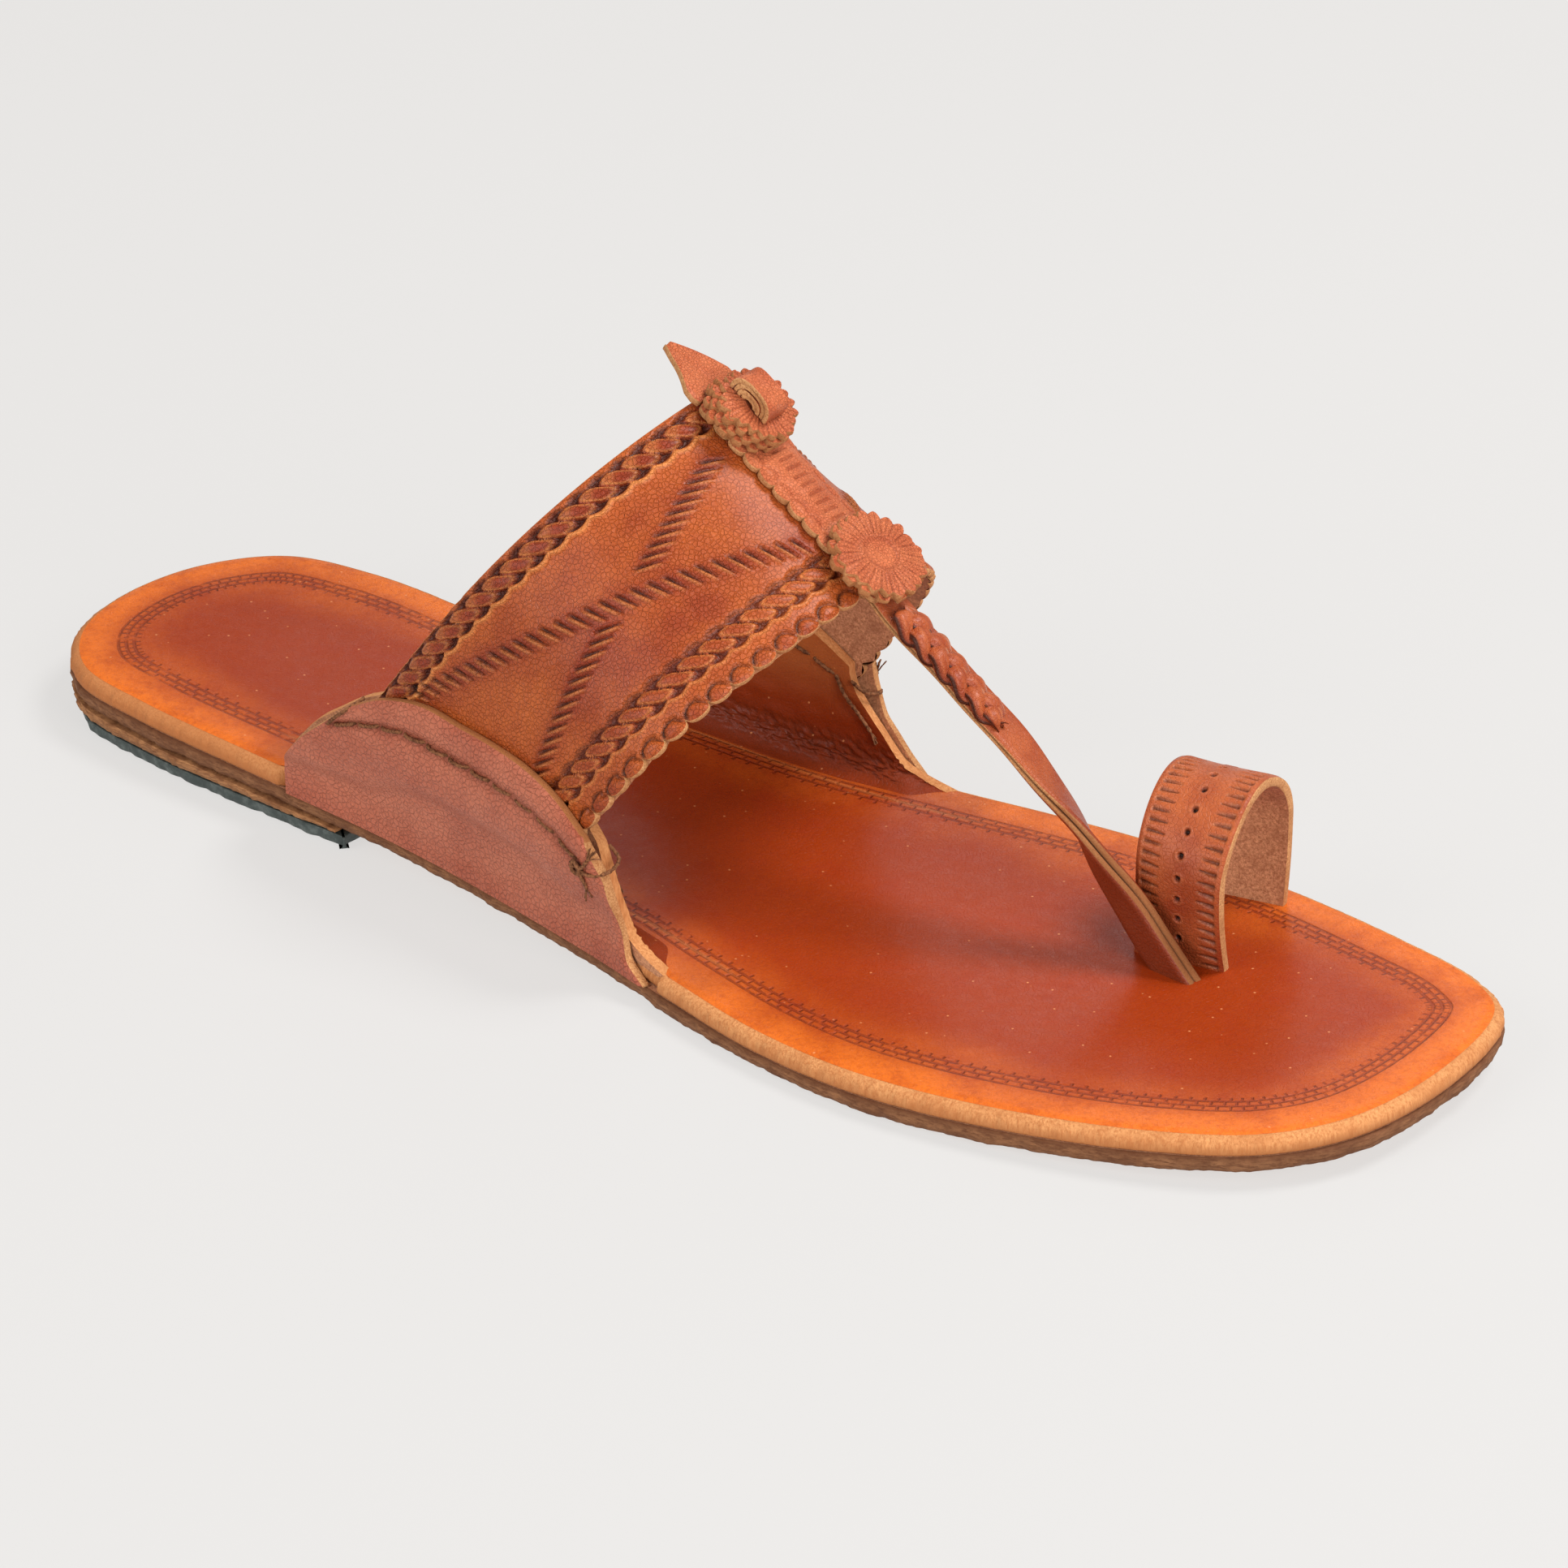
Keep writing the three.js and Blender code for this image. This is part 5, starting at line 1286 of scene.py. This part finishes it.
def braid_strand(shape, start):
    """One strip of the plait on the strap. It winds from side to side, over and under the others."""
    places = np.linspace(BRAID_START - 0.5, BRAID_END + 1.5, 300)
    angles = np.linspace(0, 2 * math.pi, 26, endpoint=False)
    radii = mix(BRAID_TOP_RADIUS, BRAID_END_RADIUS, (places - BRAID_START) / BRAID_LENGTH)
    turns = start + 2 * math.pi * places / PLAIT_LENGTH
    middles, sides, faces = [], [], []
    for place, radius, turn in zip(places, radii, turns):
        centre, _, width, face, _, _ = thong_frame(place)
        across = 0.46 * radius * math.cos(turn) - BRAID_SHIFT * np.sign(width[1])
        proud = THONG_THICK / 2 + radius * BRAID_SEAT - 0.28 * radius * math.sin(2 * turn)
        middles.append(centre + width * across + face * proud)
        sides.append(width)
        faces.append(face)
    middles, sides, faces = np.array(middles), np.array(sides), np.array(faces)
    path = unit(np.gradient(middles, axis=0))
    wide = unit(sides - path * np.sum(sides * path, axis=1, keepdims=True))
    high = np.cross(path, wide)
    high = high * np.sign(np.sum(high * faces, axis=1, keepdims=True))
    pinch = smooth((places - places[0]) / 1.6) * smooth((places[-1] - places) / 2.5)
    folds = np.sin(angles[None] * 8 + places[:, None] * 0.6) * (0.6 + 0.4 * np.sin(places[:, None] * 2.1))
    crease = 1 + 0.07 * folds + 0.03 * np.sin(angles[None] * 5 - places[:, None] * 1.3)
    half = (radii * 0.62 * pinch + 0.2)[:, None] * np.cos(angles)[None] * crease
    thick = (radii * 0.38 * pinch + 0.15)[:, None] * np.sin(angles)[None] * crease
    rings = middles[:, None] + half[..., None] * wide[:, None] + thick[..., None] * high[:, None]
    # Painted shade: darker on each strand's underside, where it sinks under the others and in the troughs of
    # its folds, and along both its sides where it meets the next strand. A painted highlight runs along one
    # edge of its top.
    proudest = smooth(0.75 - 0.6 * np.sin(2 * turns))[:, None]
    sunk = 0.9 - 0.75 * np.maximum(np.sin(angles), 0)[None] * proudest - 0.45 * folds
    away = np.cos(angles) * np.sign(sides[0, 1])
    rows = np.ones((len(places), 1))
    light = rows * 0.5 * bell(away - 0.8, 0.12) * (np.sin(angles) > 0)
    dark = rows * 0.9 * smooth((np.abs(away) - 0.86) / 0.12)
    shape.tube(rings, 0, light=light, dark=dark, shade=np.clip(sunk, 0, 1))


# The outer ears and their thread


def ear_place(side, share, below):
    """x and z of a place on an ear: its share of the length, and its distance below the top edge."""
    top = ear_top(share, side)
    z = top - below
    up = z / top
    for _ in range(3):
        x = mix(ear_rear(up), ear_front(up, side), share)
        base = insole_under(x)
        up = (z - base) / (top - base)
    return x, z


def ear_spot(side, share, below, height):
    x, z = ear_place(side, np.asarray(share, float), np.asarray(below, float))
    height = np.asarray(height, float) + 0 * x
    return off_wall(x, z, side, height + ear_lift(x, z, side) * smooth(height / EAR_WALL))


SEAM_BELOW = 6.2
STITCHES = 11
THREAD_RADIUS = 0.32
INNER_FACE = -GAP - INNER_EAR_WALL


def make_outer_ear(side, name, node):
    shape = Shape()
    up, share = np.meshgrid(np.linspace(0, 1, 120), np.linspace(0, 1, 250), indexing="ij")
    x = mix(ear_rear(up), ear_front(up, side), share)
    z = mix(insole_under(x), ear_top(share, side), up)
    lift = ear_lift(x, z, side)
    below = ear_top(share, side) - z
    stitch = (share - 0.04) / 0.9 * STITCHES
    pulled = bell((stitch - np.round(stitch)) * 7, 1.6)
    seam = bell(below - SEAM_BELOW, 1.1) * smooth((share - 0.02) * 30) * smooth((0.97 - share) * 30)
    bulge = 0.3 * blotch(x, z * 1.3, 30, 21 + side) * smooth(up * 5) * smooth((1 - up) * 5)
    height = bulge - (0.35 + 0.3 * pulled) * seam + 0.28 * bell(below - 3, 2.2) + 0.3 * bell(below - 11, 3.5)
    height = height - 0.4 * bell(below, 0.5) - 0.35 * bell((1 - share) * 80, 0.6)
    outer = off_wall(x, z, side, lift + EAR_WALL + height)
    inner = off_wall(x, z, side, lift)
    shade = np.clip(0.35 * seam + 0.45 * bell(z - insole_under(x), 5) + 0.25 * bell(below, 1.5), 0, 1)
    burnish_and_shade = np.where(up > 0.98, 0.85, 0.1)
    shape.sheet(
        outer, inner, bulge=0.2, thin=5, flip=side < 0, edge_shade=burnish_and_shade, shade=shade, dark=0.3 * seam
    )
    make_piece(name, shape, [EAR_LEATHER, FLESH, CUT_EDGE], [node])


def thread_rings(path, radius, twist=2.4, sides=8):
    """A two-ply thread along a path."""
    path = np.asarray(path, float)
    places = distances(path)
    count = max(int(places[-1] / 0.3), 6)
    even = np.linspace(0, places[-1], count)
    line = along_line(even, places, path)
    run = unit(np.gradient(line, axis=0))
    side = unit(np.cross(run[0], [0.3, 0.5, 0.81]))
    angles = np.linspace(0, 2 * math.pi, sides, endpoint=False)
    rings = []
    for k in range(count):
        side = unit(side - run[k] * float(side @ run[k]))
        other = np.cross(run[k], side)
        size = radius * (1 + 0.22 * np.cos(2 * (angles - 2 * math.pi * even[k] / twist)))
        across, above = (np.cos(angles) * size)[:, None], (np.sin(angles) * size)[:, None]
        rings.append(line[k] + across * side + above * other)
    return rings


def sew(shape, side, shares, below, heights, count, radius=THREAD_RADIUS):
    """Lays a thread on an ear, through places given as for ear_spot, and returns its line."""
    spots = ear_spot(side, shares, below, heights)
    shape.tube(thread_rings(catmull(spots, count), radius))
    return spots


def fray(shape, line, length, seed):
    """Loose strands that fan out of a thread's end."""
    root = line[-1]
    run = unit(line[-1] - line[-2])
    chance = np.random.default_rng(seed)
    for _ in range(6):
        turn = unit(run + chance.uniform(-0.35, 0.35, 3))
        sag = np.array([0, 0, -0.12 * length])
        path = [root, root + turn * length * 0.5, root + turn * length + sag * chance.uniform(0.5, 1.5)]
        shape.tube(thread_rings(catmull(path, 12), 0.13, sides=5))


def stitches(shape, side, count, rests, heights, waver=0):
    """A row of long stitches below an ear's top edge. rests: each one's bends, counted in stitches."""
    for k in range(count):
        shares = 0.04 + 0.9 * (k + np.array(rests)) / STITCHES
        sew(shape, side, shares, SEAM_BELOW + np.array([0, 0.1, 0.15, -0.1, 0]) * waver, heights, 24)


def corner_threads(shape, side):
    """The thread round an ear's corners, its knot and its loose ends."""
    face = EAR_WALL
    back = INNER_FACE
    sew(shape, side, [0.02, 0.012, 0.01, 0.012], [5.6, 3.2, 0.9, -0.35], [face, face + 0.1, face, 0.4], 24)
    round_edge = [face + 0.1, face + 0.35, face + 0.2, 0.4, back, back - 0.3]
    sew(shape, side, [0.925, 0.955, 0.985, 1.012, 1.0, 0.96], [6.4, 6.9, 6.2, 5.2, 4.4, 4.2], round_edge, 40)
    knot = [0.935, 0.945, 0.955, 0.943, 0.932, 0.945]
    sew(shape, side, knot, [6.2, 5.4, 6.5, 7.6, 6.9, 6.0], face + 0.75, 50, THREAD_RADIUS * 1.2)
    tail = sew(shape, side, [0.95, 0.952, 0.948], [7.0, 8.8, 10.6], face + np.array([0.6, 0.5, 0.35]), 20)
    fray(shape, tail, 2.6, 60 + side)
    over = sew(shape, side, [0.955, 0.975, 0.99], [6.2, 4.8, 3.4], face + np.array([0.7, 0.7, 0.5]), 20)
    fray(shape, over, 3.0, 70 + side)


def inner_thread_end(shape, side):
    heights = INNER_FACE - np.array([0.2, 0.8, 0.9, 0.6])
    loose = sew(shape, side, [0.90, 0.915, 0.94, 0.95], [6.0, 8.4, 10.5, 13.0], heights, 30)
    fray(shape, loose, 2.2, 80 + side)


def make_threads():
    """The waxed thread of both ears: stitches on the outer face and, between them, on the inner one."""
    shape = Shape()
    outer_dip = EAR_WALL + np.array([-0.9, -0.28, -0.2, -0.28, -0.9])
    inner_dip = INNER_FACE + np.array([0.6, -0.1, -0.25, -0.1, 0.6])
    for side in (-1, 1):
        stitches(shape, side, STITCHES, [0.04, 0.16, 0.5, 0.84, 0.96], outer_dip, 1)
        corner_threads(shape, side)
        stitches(shape, side, STITCHES - 1, [0.56, 0.68, 1.0, 1.34, 1.46], inner_dip)
        inner_thread_end(shape, side)
    make_piece("waxed_thread_seams", shape, [THREAD], [])


# The toe loop

LOOP_WIDTH = 16.5
LOOP_WALL = 1.9
LOOP_SPAN = 26.3
LOOP_LEG = 16.3
LOOP_NEAR_SWELL = 3.3
LOOP_FAR_SWELL = 1.5
LOOP_TURN = math.radians(10.5)
LOOP_FRONT_FROM_HEEL = 234.2
LOOP_ACROSS = 14.9
LOOP_RADIUS = LOOP_SPAN / 2
LOOP_RIGHT = np.array([-math.sin(LOOP_TURN), math.cos(LOOP_TURN), 0])
LOOP_BACK = np.array([-math.cos(LOOP_TURN), -math.sin(LOOP_TURN), 0])
LOOP_CORNER = np.array([HEEL_X + LOOP_FRONT_FROM_HEEL, LOOP_ACROSS, 0])
LOOP_FLOOR = float(insole_top(LOOP_CORNER[0] - LOOP_WIDTH / 2))
DASH_PITCH = 1.85
PINHOLE_PITCH = 3.9


def loop_points(place, share, depth):
    """Points of the loop: distance along it, share of its width from the front, depth under its face."""
    leg = LOOP_LEG + SLOT_DEPTH
    arc = math.pi * LOOP_RADIUS
    angle = math.pi - np.clip((place - leg) / LOOP_RADIUS, 0, math.pi)
    across = LOOP_RADIUS + (LOOP_RADIUS - depth) * np.cos(angle)
    spring = LOOP_FLOOR + LOOP_LEG
    low = np.minimum(place, leg) + np.minimum(2 * leg + arc - place, leg) - leg
    z = np.where(
        (place > leg) & (place < leg + arc),
        spring + (LOOP_RADIUS - depth) * np.sin(angle),
        LOOP_FLOOR - SLOT_DEPTH + low,
    )
    side = across / LOOP_RADIUS - 1
    rise = np.clip((z - LOOP_FLOOR) / (LOOP_LEG + LOOP_RADIUS), 0, 1)
    swell = side * np.where(side < 0, LOOP_NEAR_SWELL, LOOP_FAR_SWELL) * np.sin(math.pi * rise) * (1 - share)
    out = across + swell
    points = LOOP_CORNER + (share * LOOP_WIDTH)[..., None] * LOOP_BACK + out[..., None] * LOOP_RIGHT
    points[..., 2] = z
    return points


def loop_stamps(place, share):
    """Tapered dashes along both edges and square pinholes along the middle."""
    in_from_edge = np.minimum(share, 1 - share) * LOOP_WIDTH
    phase = off_step(place, DASH_PITCH)
    reach_in = np.clip((in_from_edge - 1.0) / 3.6, 0, 1)
    within = smooth((in_from_edge - 0.8) / 0.3) * smooth((4.7 - in_from_edge) / 0.5)
    dash = within * bell(phase, 0.36 * (1.2 - reach_in))
    away = np.hypot(np.abs(share - 0.5) * LOOP_WIDTH, off_step(place, PINHOLE_PITCH))
    hole = smooth((0.62 - away) / 0.25)
    collar = bell(away - 0.9, 0.25)
    return dash, hole, collar


def make_toe_loop():
    shape = Shape()
    length = 2 * (LOOP_LEG + SLOT_DEPTH) + math.pi * LOOP_RADIUS
    place, share = np.meshgrid(np.linspace(0, length, 330), np.linspace(0, 1, 72), indexing="ij")
    dash, hole, collar = loop_stamps(place, share)
    swell = 0.12 * blotch(place, share * LOOP_WIDTH, 16, 33)
    edge = bell(np.minimum(share, 1 - share) * LOOP_WIDTH, 0.45)
    height = swell - 0.5 * dash - 0.9 * hole + 0.1 * collar - 0.25 * edge
    outer = loop_points(place, share, -height)
    inner = loop_points(place, share, LOOP_WALL + 0 * place)
    low = smooth((0.45 - place / length) / 0.45)
    shade = np.clip(0.3 * edge + 0.25 * bell(np.abs(share - 0.5), 0.12) + 0.5 * low, 0, 1)
    dark = np.clip(0.7 * dash + hole, 0, 1)
    # Painted highlights along the sides of the dashes; light rings round the pinholes.
    light = np.clip(0.12 * collar + 0.3 * bell(dash - 0.35, 0.15), 0, 1)
    shape.sheet(outer, inner, bulge=0.15, thin=3, flip=True, dark=dark, light=light, shade=shade)
    make_piece("toe_loop_leather", shape, [LOOP_LEATHER, FLESH, CUT_EDGE], ["toe_loop"])


# The trim on the ridge

SPINE_START = 1.5
SPINE_HALF_WIDTH = 4.7
SPINE_SHIFT = 0.9
SPINE_WALL = 1.6
SPINE_OVERHANG = 2
SPINE_SCALLOPS = 12
SPINE_TOOTH = 0.9
SPINE_PIT_PITCH = 1.9
DISC_THICK = 1.5
DISC_RIM = 1.2
DISC_SINK = 0.3
DISC_TAPER = 0.03
DISC_LEAN = (0.28, 0.2, 0)
REAR_ROSETTE_RADIUS = 7.8
REAR_ROSETTE_ALONG = 7.2
ROSETTE_TEETH = 20
LOWER_TEETH = 15
ROSETTE_TOOTH = 1
LEAF_WIDTH = 11.3
LEAF_REACH = 12.2
LEAF_WALL = 1.4
LEAF_DROOP = 2
KNOT_WIDTH = 5.5
KNOT_SPAN = 9
KNOT_RISE = 3.6
BAND_TOP = BAND_WALL + GAP
SPINE_TOP = BAND_TOP + SPINE_WALL + GAP
DISC_STEP = DISC_RIM - DISC_SINK
REAR_TOP = SPINE_TOP + DISC_THICK + 3 * DISC_STEP + GAP

# Plan of the tail leaf. at: share of its reach. across: share of half its width.
LEAF_SHAPE = [
    {"at": 0, "across": 0.9},
    {"at": 0.1, "across": 1},
    {"at": 0.25, "across": 0.98},
    {"at": 0.6, "across": 0.56},
    {"at": 1, "across": 0.1},
]

# Layers of the folded knot. depth: below its face. narrow: share of its width.
KNOT_LAYERS = [
    {"depth": 0, "wall": 0.8, "narrow": 1},
    {"depth": 0.95, "wall": 0.75, "narrow": 0.92},
    {"depth": 1.85, "wall": 0.75, "narrow": 0.97},
    {"depth": 2.7, "wall": 0.7, "narrow": 0.88},
]


def on_ridge(along, height, points):
    """Moves local points to the ridge, with x down the slope and z off the last."""
    moved = ridge_point(along + points[..., 0], height + points[..., 2])
    moved[..., 1] += points[..., 1]
    return moved


def make_spine_strip():
    shape = Shape()
    end = BAND_LENGTH + SPINE_OVERHANG
    along, share = np.meshgrid(np.linspace(SPINE_START, end, 289), np.linspace(-1, 1, 65), indexing="ij")
    phase = (along - SPINE_START) / (end - SPINE_START) * SPINE_SCALLOPS % 1
    pitch = (end - SPINE_START) / SPINE_SCALLOPS
    lobe = scallop(phase)
    half = SPINE_HALF_WIDTH + SPINE_TOOTH * lobe * smooth((np.abs(share) - 0.5) / 0.5)
    out = share * half
    pit = smooth((1.6 - np.abs(out)) / 0.35) * smooth((0.42 - off_step(along, SPINE_PIT_PITCH)) / 0.25)
    arc_centre = np.hypot((phase - 0.5) * pitch, SPINE_HALF_WIDTH + 0.7 - np.abs(out))
    arc = bell(arc_centre - 1.9, 0.28) * smooth((SPINE_HALF_WIDTH - 0.2 - np.abs(out)) / 0.8)
    lump = 0.2 * blotch(along, out, 7, 44)
    edge = bell(SPINE_HALF_WIDTH + SPINE_TOOTH * lobe - np.abs(out), 0.4)
    height = lump - 0.28 * pit - 0.2 * arc - 0.3 * edge
    turn = turn_at(along, SPINE_SHIFT + out)
    outer = off_last(along, turn, BAND_TOP + SPINE_WALL + height)
    inner = off_last(along, turn, BAND_TOP + 0 * along)
    dark = np.clip(0.15 * pit + 0.1 * arc, 0, 1)
    shape.sheet(outer, inner, bulge=0.15, thin=4, dark=dark, shade=0.3 * arc + 0.3 * pit)
    make_piece("spine_strip_leather", shape, [TRIM_LEATHER, FLESH, CUT_EDGE], ["spine_strip"])


def toothed_disc(shape, radius, lift, along, height, turn, seed, top_disc):
    """A disc with a toothed rim, radial grooves, a pressed ring and a low middle."""
    angles = np.linspace(0, 2 * math.pi, ROSETTE_TEETH * 12, endpoint=False)
    shares = np.concatenate([[0.01], np.linspace(0.06, 1, 34)])
    angle, share = np.meshgrid(angles, shares, indexing="ij")
    teeth = ROSETTE_TEETH if top_disc else LOWER_TEETH
    phase = angle / (2 * math.pi) * teeth % 1
    point = np.clip(1 - np.abs(2 * phase - 1) ** 1.3, 0, 1)
    lobe = point if top_disc else smooth((point - 0.3) / 0.35)
    size = radius - ROSETTE_TOOTH * (1 - lobe) + 0.25 * ripple(angle, 0.5, 3, seed)
    out = share * size
    rim_share = out / radius
    dome = mix(DISC_RIM, DISC_THICK, smooth((1 - rim_share) / 0.55) * smooth((rim_share - 0.3) / 0.12))
    lines = 2 * phase
    groove = bell((lines - np.round(lines)) * math.pi * out / teeth, 0.17)
    groove = groove * smooth((rim_share - 0.34) / 0.2) * (0.6 + 0.4 * bell(phase - np.round(phase), 0.2))
    pressed = bell(out - 0.36 * radius, 0.4)
    curl = 0.3 * ripple(angle, 0.6, 4, seed + 1) * rim_share ** 3
    uneven = curl + 0.1 * blotch(out * np.cos(angle), out, 5, seed)
    level = lift + dome - 0.2 * groove - 0.15 * pressed + uneven
    top = np.stack([out * np.cos(angle + turn), out * np.sin(angle + turn), level], axis=-1)
    top = top + lift * np.array(DISC_LEAN)
    dark = np.clip(0.28 * groove + 0.15 * pressed, 0, 1)
    shade = np.clip(0.35 * groove + 0.3 * pressed + 0.2 * bell(rim_share - 1, 0.08), 0, 1)
    shape.grid(on_ridge(along, height, top), 0, closed=True, dark=dark, shade=shade)
    over = top[:, -1]
    under = over.copy()
    under[:, 2] = lift + curl[:, -1] * 0.7
    steps = np.array([0, 0.08, 0.3, 0.6, 0.9, 1])
    swell = 1 + 0.02 * np.sin(math.pi * steps)
    rim = mix(over[:, None], under[:, None], steps[None, :, None])
    rim[..., :2] = rim[..., :2] * swell[None, :, None]
    # The rims of the lower discs, under the top disc, get darker painted shade.
    shape.grid(on_ridge(along, height, rim), 1, closed=True, shade=0.35 if top_disc else 0.6)
    middle = np.append(lift * np.array(DISC_LEAN)[:2], 0)
    bottom = middle + (under[:, None] - middle) * np.array([1, 0.5, 0.02])[None, :, None]
    bottom[..., 2] = lift + 0 * bottom[..., 2]
    shape.grid(on_ridge(along, height, bottom), 1, closed=True)


def make_rosette(name, node, radius, along, discs):
    shape = Shape()
    for k in range(discs):
        turn = k * math.pi / ROSETTE_TEETH / 2 + 0.05 * k
        size = radius * (1 - DISC_TAPER * k)
        toothed_disc(shape, size, k * DISC_STEP, along, SPINE_TOP, turn, 90 + 3 * k, k == discs - 1)
    make_piece(name, shape, [TRIM_LEATHER, CUT_EDGE], [node])


def make_tail_leaf():
    shape = Shape()
    at, share = np.meshgrid(np.linspace(0, 1, 60), np.linspace(-1, 1, 41), indexing="ij")
    rows = {name: [row[name] for row in LEAF_SHAPE] for name in ("at", "across")}
    half = np.interp(at, rows["at"], rows["across"]) * LEAF_WIDTH / 2
    curl = 0.5 * at * share ** 2 + 0.15 * blotch(at * 12, share * 6, 9, 51)

    def level(height):
        spot = np.stack([-at * LEAF_REACH, share * half, height - LEAF_DROOP * at ** 2 + curl], axis=-1)
        return on_ridge(SPINE_START - GAP, BAND_TOP, spot)

    vein = bell(share * half, 0.3) * smooth(at * 4) * 0.12
    edge = bell((1 - np.abs(share)) * half, 0.4)
    outer = level(LEAF_WALL - vein - 0.2 * edge)
    shape.sheet(outer, level(0 * at), bulge=0.12, thin=3, flip=True, shade=0.25 * edge)
    make_piece("tail_leaf_leather", shape, [TRIM_LEATHER, FLESH, CUT_EDGE], ["tail_leaf"])


def make_knot():
    """A strip folded over on itself, with its layers showing at the sides."""
    shape = Shape()
    turns = np.linspace(math.pi, 0, 60)
    for layer in KNOT_LAYERS:
        depth, wall = layer["depth"], layer["wall"]
        angle, share = np.meshgrid(turns, np.linspace(-1, 1, 25), indexing="ij")
        pinch = layer["narrow"] * (1 - 0.14 * np.sin(angle) ** 2) * KNOT_WIDTH / 2
        dent = 0.25 * (1 - share ** 2) * np.sin(angle) ** 2 + 0.1 * blotch(angle * 4, share * 3, 5, 57)

        def level(deep):
            x = (KNOT_SPAN / 2 - deep) * np.sign(np.cos(angle)) * np.abs(np.cos(angle)) ** 0.7
            z = (KNOT_RISE - deep) * np.sin(angle) ** 0.8
            return on_ridge(REAR_ROSETTE_ALONG, REAR_TOP, np.stack([x, share * pinch, z], axis=-1))

        shade = 0.15 + 0.1 * (depth > 0) + 0 * angle
        shape.sheet(level(depth + dent), level(depth + wall + 0 * angle), bulge=0.1, thin=2, shade=shade)
    make_piece("folded_knot_leather", shape, [TRIM_LEATHER, FLESH, CUT_EDGE], ["knot"])


# The floor, the light and the camera

BACKDROP = (0.839, 0.823, 0.807)
WORLD_STRENGTH = 0.36
FLOOR_REACH = 6
FLOOR_DROP = 0.0002
FLOOR_GLOW = 0.78
FLOOR_TONE = (0.12, 0.118, 0.116)

# Soft round lights: metres and watts
LIGHTS = [
    {"name": "top", "place": (0.48, 0.36, 1.1), "aim": (0, 0, 0.04), "size": 0.5, "power": 13},
    {"name": "front", "place": (1.15, -0.4, 0.6), "aim": (0, 0, 0.03), "size": 0.8, "power": 12},
    {"name": "fill", "place": (-0.35, -1.25, 0.75), "aim": (0, 0, 0.03), "size": 1.1, "power": 12},
    {"name": "sheen", "place": (-0.62, 0.95, 0.72), "aim": (0.05, 0, 0.02), "size": 0.55, "power": 1.4},
]

CAMERA_AZIMUTH = math.radians(37.95)
CAMERA_ELEVATION = math.radians(28.96)
CAMERA_ROLL = math.radians(-0.37)
CAMERA_TARGET = Vector((1.56, 13.45, 13.59)) * MM
CAMERA_DISTANCE = 1110 * MM
CAMERA_LENS = 147.47
CAMERA_SENSOR = 36


def make_camera():
    camera = bpy.data.cameras.new("photo_camera")
    camera.lens = CAMERA_LENS
    camera.sensor_width = CAMERA_SENSOR
    camera.clip_end = 50
    spot = add_object("photo_camera", camera)
    back = Vector((
        math.sin(CAMERA_AZIMUTH) * math.cos(CAMERA_ELEVATION),
        -math.cos(CAMERA_AZIMUTH) * math.cos(CAMERA_ELEVATION),
        math.sin(CAMERA_ELEVATION),
    ))
    level = Vector((math.cos(CAMERA_AZIMUTH), math.sin(CAMERA_AZIMUTH), 0))
    above = back.cross(level)
    right = level * math.cos(CAMERA_ROLL) + above * math.sin(CAMERA_ROLL)
    turn = Matrix((right, back.cross(right), back)).transposed()
    spot.matrix_world = Matrix.Translation(CAMERA_TARGET + back * CAMERA_DISTANCE) @ turn.to_4x4()
    bpy.context.scene.camera = spot


def soft_light(name, place, aim, size, power):
    lamp = bpy.data.lights.new(name, "AREA")
    lamp.shape = "DISK"
    lamp.size = size
    lamp.energy = power
    spot = add_object(name, lamp)
    spot.location = place
    spot.rotation_euler = (Vector(aim) - Vector(place)).to_track_quat("-Z", "Y").to_euler()


def make_studio():
    scene = bpy.context.scene
    scene.view_settings.view_transform = "Standard"
    world = bpy.data.worlds.new("studio")
    world.use_nodes = True
    world.node_tree.nodes["Background"].inputs["Color"].default_value = (*BACKDROP, 1)
    world.node_tree.nodes["Background"].inputs["Strength"].default_value = WORLD_STRENGTH
    scene.world = world
    mesh = bpy.data.meshes.new("floor")
    corners = [(x * FLOOR_REACH, y * FLOOR_REACH, 0) for x, y in ((-1, -1), (1, -1), (1, 1), (-1, 1))]
    mesh.from_pydata(corners, [], [(0, 1, 2, 3)])
    floor = add_object("floor", mesh)
    floor.location.z = -FLOOR_DROP
    paper = Finish("paper_floor", roughness=0.9, specular=0.1)
    paper.shader.inputs["Emission Strength"].default_value = FLOOR_GLOW
    paper.shader.inputs["Emission Color"].default_value = (*BACKDROP, 1)
    speck = paper.noise(4, 2)
    mesh.materials.append(paper.done(paper.mix(speck, FLOOR_TONE, tuple(0.98 * tone for tone in FLOOR_TONE))))
    for light in LIGHTS:
        soft_light(**light)


make_camera()
make_studio()
make_insole()
make_outsole()
make_heel()
make_upper()
make_thong()
make_outer_ear(-1, "lateral_ear_leather", "ear_lateral")
make_outer_ear(1, "medial_ear_leather", "ear_medial")
make_threads()
make_toe_loop()
make_spine_strip()
make_rosette("front_rosette_leather", "rosette_front", FRONT_ROSETTE_RADIUS, FRONT_ROSETTE_ALONG, 2)
make_rosette("rear_rosette_leather", "rosette_rear", REAR_ROSETTE_RADIUS, REAR_ROSETTE_ALONG, 4)
make_tail_leaf()
make_knot()
